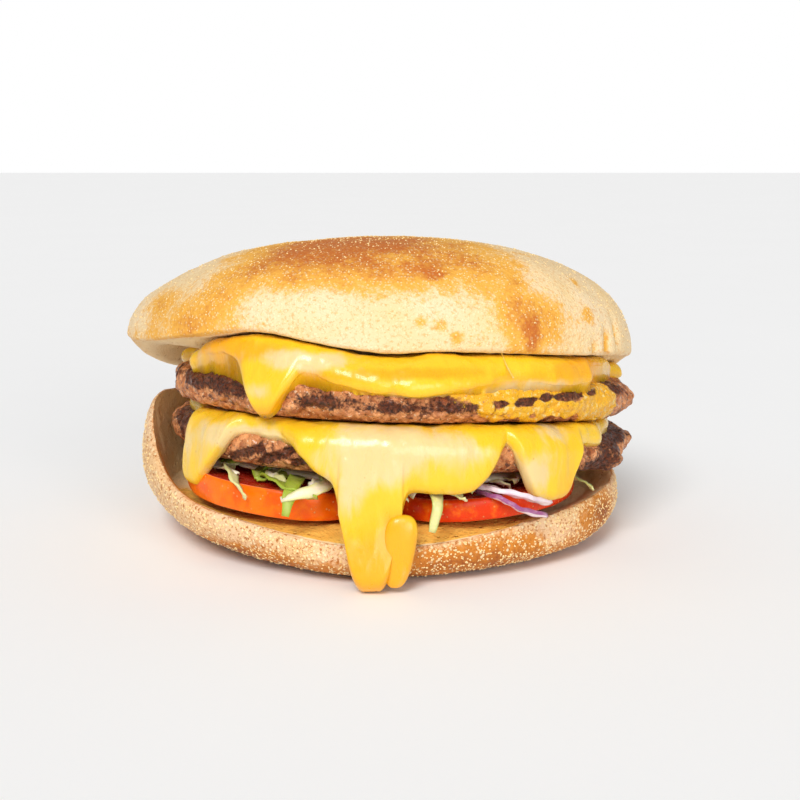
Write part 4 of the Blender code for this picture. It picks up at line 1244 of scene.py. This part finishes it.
LOWER_PALE = (
    Patch((-2.1, -60.3, 30.0), (12, 9, 6), 0.75),
    Patch((6.0, -59.0, 34.0), (13, 8, 3.5), 0.7),
    Patch((-32.2, -44.1, 32.6), (11, 9, 2.4), 0.9),
    Patch((-44.0, -36.0, 28.0), (9, 10, 7), 0.28),
    Patch((-6.0, -61.0, 21.0), (3.0, 6.0, 5.0), 0.5),
    Patch((34.2, -50.6, 25.4), (6, 6, 5), 0.6),
    Patch((22.0, -56.0, 31.0), (6, 5, 2.5), 0.4),
    Patch((40.0, -44.0, 34.0), (5, 5, 2.0), 0.6),
)
LOWER_DEEP = (
    Patch((-2.0, -63.0, 3.0), (9, 7, 12), 1.3),
    Patch((5.0, -63.3, 10.0), (5, 6, 9), 1.1),
    Patch((43.0, -42.0, 22.0), (9, 7, 6), 0.5),
    Patch((-47.0, -31.0, 24.0), (6, 7, 5), 0.35),
)
UPPER_PALE = (
    Patch((-18.0, -51.0, 51.4), (11, 12, 2.2), 1.2),
    Patch((-27.0, -53.0, 44.6), (5, 6, 2.4), 0.6),
    Patch((-40.0, -40.0, 48.6), (7, 7, 2.0), 0.4),
    Patch((33.0, -49.0, 43.8), (10, 8, 1.9), 1.1),
    Patch((8.0, -60.0, 43.4), (14, 6, 1.2), 0.5),
)
# The upper slice's deeper yellow spots. The three along its top, under the crown's rim, are partly painted
# shade of the rim.
UPPER_DEEP_AND_RIM_SHADE = (
    Patch((-25.0, -54.0, 40.0), (6, 6, 5), 0.4),
    Patch((-32.0, -44.0, 53.0), (15, 14, 2.6), 1.2),
    Patch((8.0, -55.0, 49.0), (20, 8, 1.5), 1.0),
    Patch((46.0, -34.0, 47.4), (18, 14, 2.2), 1.1),
)


def cheese_finish():
    """Glossy melted cheese, pale with fat by the attribute pale, and deeper yellow by its deep colour and
    shade attribute, which also paints orange shade on the hanging edges and under the crown's rim.
    """
    melted = Finish("melted_cheese", IOR=1.45, Coat_Weight=0.30, Coat_Roughness=0.12,
                    Subsurface_Weight=0.15, Subsurface_Radius=(1.0, 0.62, 0.16), Subsurface_Scale=2.2 * MM)
    across, depth, height = (melted.node("ShaderNodeSeparateXYZ", {}, {"Vector": melted.place}, axis)
                             for axis in "XYZ")
    runs = melted.node("ShaderNodeCombineXYZ", {}, {"X": across, "Y": depth, "Z": height * 0.35})
    smear = melted.cloud(5.0, 4.0, 0.6, 0.6, runs) - 0.5
    pale = melted.grown(melted.painted("pale") + smear * 1.3, 0.26, 0.80)
    deep_and_shade = melted.grown(melted.painted("deep_and_shade") + smear * 0.9, 0.22, 0.85)
    colour = melted.mixed(melted.cloud(9.0, 3.0, 0.5, 0.4, runs), (0.92, 0.61, 0.022), (0.90, 0.51, 0.008))
    # Deeper orange where the slice is thick, and also as painted shade on its hanging edges and under the
    # crown's rim.
    colour = melted.mixed(deep_and_shade, colour, (0.90, 0.42, 0.003))
    colour = melted.mixed(pale * 0.85, colour, (0.81, 0.62, 0.31))
    freckle = melted.grown(melted.cells(2.4), 0.13, 0.07) * melted.grown(melted.cloud(7.0), 0.56, 0.66)
    colour = melted.mixed(freckle * 0.5, colour, (0.60, 0.30, 0.05))
    oil = melted.cloud(3.0, 3.0, 0.5, 0.3, runs)
    bumps = melted.cloud(1.8, 3.0, 0.55, 0.3, runs)
    melted.feed(Base_Color=colour, Roughness=melted.spread_over(oil, 0.25, 0.75, 0.20, 0.42),
                Normal=melted.bumped(bumps, 0.16))
    return melted


CHEESE_FINISH = cheese_finish()
FOLD_MIDDLE = Vector((4.3, -60.8, 8.6)) * MM
FOLD_SIZE = Vector((4.3, 2.3, 7.4)) * MM


def fold_shape(azimuth, travel):
    """The second fold beside the long drip: a squared lump with a soft ridge down it."""
    ball = polar(azimuth, math.sin(travel * math.pi), math.cos(travel * math.pi))
    x, y, z = (math.copysign(abs(value) ** 0.72, value) for value in ball)
    x = x * (0.84 + 0.16 * z) + 0.2 * z
    return FOLD_MIDDLE + Vector((x * FOLD_SIZE.x, y * FOLD_SIZE.y, z * FOLD_SIZE.z))


def cheese_masks(pale, deep_and_shade, fat, edge):
    """The rules of a slice's masks. fat is how pale it is all over, above the long drip, and edge is how
    much deeper its hanging edge is painted, as orange shade."""
    return {
        "pale": lambda azimuth, travel, point: (patched(pale, point) + fat * ease(point.z, 16 * MM, 28 * MM)
                                                + 0.22 * ease(travel, 0.38, 0.48)),
        "deep_and_shade": lambda azimuth, travel, point: patched(deep_and_shade, point) + edge * ease(travel, 0.36, 0.46),
    }


lower_shape = cheese_shape(LOWER_PATTY_OUTLINE, LOWER_CHEESE_BOTTOM, PRESSED_CHEESE,
                           LOWER_DRIPS, LOWER_BARE, seed=5.0)
lower_masks = cheese_masks(LOWER_PALE, LOWER_DEEP, fat=0.20, edge=0.15)
cheese_net, cheese_painted = turned(CHEESE_NET, lower_shape, cheese_relief, lower_masks, LOWER_CROWD)
fold_net, fold_painted = turned(FOLD_NET, fold_shape, None, lower_masks)
join_in(cheese_net, fold_net)
lower_cheese = add_piece("melted_slice_lower", cheese_net, CHEESE_FINISH, "cheese_lower")
paint(lower_cheese, {name: values + fold_painted[name] for name, values in cheese_painted.items()})

upper_shape = cheese_shape(UPPER_PATTY_OUTLINE, UPPER_CHEESE_BOTTOM, CHEESE_THICKNESS,
                           UPPER_DRIPS, UPPER_BARE, 8.0, UPPER_FLAT_SHARE, swelling)
upper_masks = cheese_masks(UPPER_PALE, UPPER_DEEP_AND_RIM_SHADE, fat=0.0, edge=0.50)
cheese_net, cheese_painted = turned(CHEESE_NET, upper_shape, cheese_relief, upper_masks, UPPER_CROWD)
upper_cheese = add_piece("melted_slice_upper", cheese_net, CHEESE_FINISH, "cheese_upper")
paint(upper_cheese, cheese_painted)


# The crown is the upper half of the roll: a flat dome, pulled smooth by the oven, toasted reddish brown on
# top, dusted with flour and grains of semolina, and folded into a squared corner at its right end.

LIP_SHARE = 0.04
BACK_SPOTS = 16
CROWN_GRAINS = (0.11, 0.26)


def crown_shape(azimuth, travel):
    """The dome down to its rim, a rounded lip, and the underside that rests on the upper cheese."""
    outline = around(CROWN_OUTLINE, azimuth) * MM
    rim = around(CROWN_RIM, azimuth) * MM
    fullness = 2.25 + 0.11 * math.cos(math.radians(azimuth))
    sweep = min(travel / 0.5, 1.0) * 0.985 * math.pi / 2
    reach, lift = math.sin(sweep) ** (2 / fullness), math.cos(sweep) ** (2 / fullness)
    point = polar(azimuth, outline * reach, 0)
    top = STACK_HEIGHT * (1 + FAN_LEFT * point.x)
    point.z = rim + (top - rim) * lift
    swell = 0.9 * MM * lumps(point, 24 * MM, 1.0) * ease(reach, 0.1, 0.5)
    point += polar(azimuth, swell, swell * 0.6)
    if travel <= 0.5:
        return point
    inset = outline * LIP_INSET
    if travel < 0.5 + LIP_SHARE:
        turn = (travel - 0.5) / LIP_SHARE * math.pi / 2
        radius = inset + (math.hypot(point.x, point.y) - inset) * math.cos(turn)
        return polar(azimuth, radius, rim + (point.z - rim) * (1 - math.sin(turn)))
    radius = inset * (1 - travel) / (0.5 - LIP_SHARE)
    return polar(azimuth, radius, crown_underside(azimuth, radius))


CROWN_TOAST = [
    Patch((-4.0, -27.0, 75.0), (24, 21, 8), 1.10),
    Patch((-26.0, -37.0, 70.5), (16, 12, 8), 0.58),
    Patch((5.0, -44.5, 68.8), (17, 7, 5), 0.55),
    Patch((12.6, -44.5, 69.7), (2.4, 2.2, 1.7), 0.40),
    Patch((21.0, -34.0, 71.4), (14, 11, 6), 0.48),
    Patch((-44.0, -37.5, 59.7), (9, 9, 5.0), 0.56),
    Patch((-51.8, -23.5, 60.6), (9, 10, 5.0), 0.50),
    Patch((-35.3, -42.4, 63.8), (7, 6, 4), 0.36),
    Patch((36.7, -43.1, 58.6), (10, 8, 8), 0.66),
    Patch((29.0, -45.2, 62.0), (7, 6, 6), 0.40),
    Patch((34.7, -45.4, 56.1), (1.8, 3.0, 4.6), 0.60),
    Patch((31.1, -40.0, 67.4), (2.0, 2.0, 1.8), 0.45),
    Patch((46.9, -25.2, 65.9), (2.4, 2.6, 2.2), 0.55),
    Patch((49.1, -31.6, 58.7), (2.0, 2.2, 2.4), 0.62),
    Patch((9.0, -52.4, 59.8), (1.7, 1.7, 1.6), 0.55),
    Patch((13.5, -52.0, 58.9), (1.7, 1.7, 1.6), 0.55),
    Patch((17.3, -51.7, 56.6), (1.7, 1.7, 1.6), 0.55),
]
draw = random.Random(7)
for _ in range(BACK_SPOTS):
    azimuth = draw.uniform(5, 175)
    radius = draw.uniform(18, 60)
    place = polar(azimuth, radius, 72 - (radius / 60) ** 3 * 26 - (radius / 60) * 14)
    size = draw.uniform(4, 11)
    CROWN_TOAST.append(Patch(place, (size, size * draw.uniform(0.6, 1.2), 7), draw.uniform(0.25, 0.6)))
CROWN_CREASES = (
    Patch((54.6, -28.0, 51.5), (1.1, 1.6, 4.6), 1.0),
    Patch((57.4, -22.6, 53.0), (1.1, 1.4, 5.2), 0.8),
    Patch((51.0, -32.6, 50.5), (1.0, 1.4, 3.2), 0.6),
)


def crown_relief(azimuth, travel, point):
    """Faint puckers and blisters of the crust, and the creases beside its squared right corner."""
    if travel > 0.5 + LIP_SHARE:
        return 0.22 * lumps(point, 2.6 * MM, 81.0) * MM * ease(1 - travel, 0, 0.03)
    pucker = 0.22 * lumps(point, 7 * MM, 82.0) + 0.09 * lumps(point, 2.4 * MM, 83.0)
    return (pucker - 1.3 * patched(CROWN_CREASES, point)) * MM


def crown_toast_and_crease_shade(azimuth, travel, point):
    """Toast on the dome: in spots and along the rim, mostly at its left end, with painted shade in the
    creases.
    """
    if travel > 0.5 + LIP_SHARE:
        return 0.25 * ease(travel, 0.66, 0.5 + LIP_SHARE)
    edge = 0.22 * ease(travel, 0.44, 0.50) * (0.5 + ease(abs(turn_from(200, azimuth)), 60, 10))
    # The creases are darkened as painted shade.
    return patched(CROWN_TOAST, point) + edge + 0.5 * patched(CROWN_CREASES, point) - 0.06


crown_net, crown_masks = turned(CRUST_NET, crown_shape, crown_relief, {
    "toast_and_shade": crown_toast_and_crease_shade,
    "stain": lambda azimuth, travel, point: 0.0,
    "crumb": lambda azimuth, travel, point: ease(travel, 0.5 + LIP_SHARE * 0.6, 0.5 + LIP_SHARE * 1.3),
})
crown_finish = crust_finish("crown_crust", (0.85, 0.58, 0.22), (0.86, 0.43, 0.055), (0.56, 0.145, 0.014),
                            speck=0.5, bead=0.42, bead_size=0.75)
crown_grains = strewn(crown_net, lambda face: face.normal.z > -0.1, CROWN_GRAINS, seed=6)
crown = add_piece("crown_roll", crown_net, crown_finish, "roll_crown")
paint(crown, crown_masks)
add_piece("semolina_on_crown", crown_grains, grain_finish, None)


# A thread of cheese is drawn out between the crown's rim and the slice below it, thin as sewing cotton.

THREAD = ((27.4, -45.4, 49.0), (28.0, -47.2, 47.6), (28.9, -50.0, 45.4), (29.9, -53.0, 43.6))
THREAD_WIDTH = 0.42
THREAD_THICKNESS = 0.34
thread_net = bmesh.new()
across = add_strip(thread_net, THREAD, THREAD_WIDTH, THREAD_THICKNESS, (0, 90), 0.0, 3.0, steps=24)
thread = add_piece("cheese_thread", thread_net, CHEESE_FINISH, None)
paint(thread, {"pale": [0.5] * len(across), "deep_and_shade": [0.0] * len(across)})
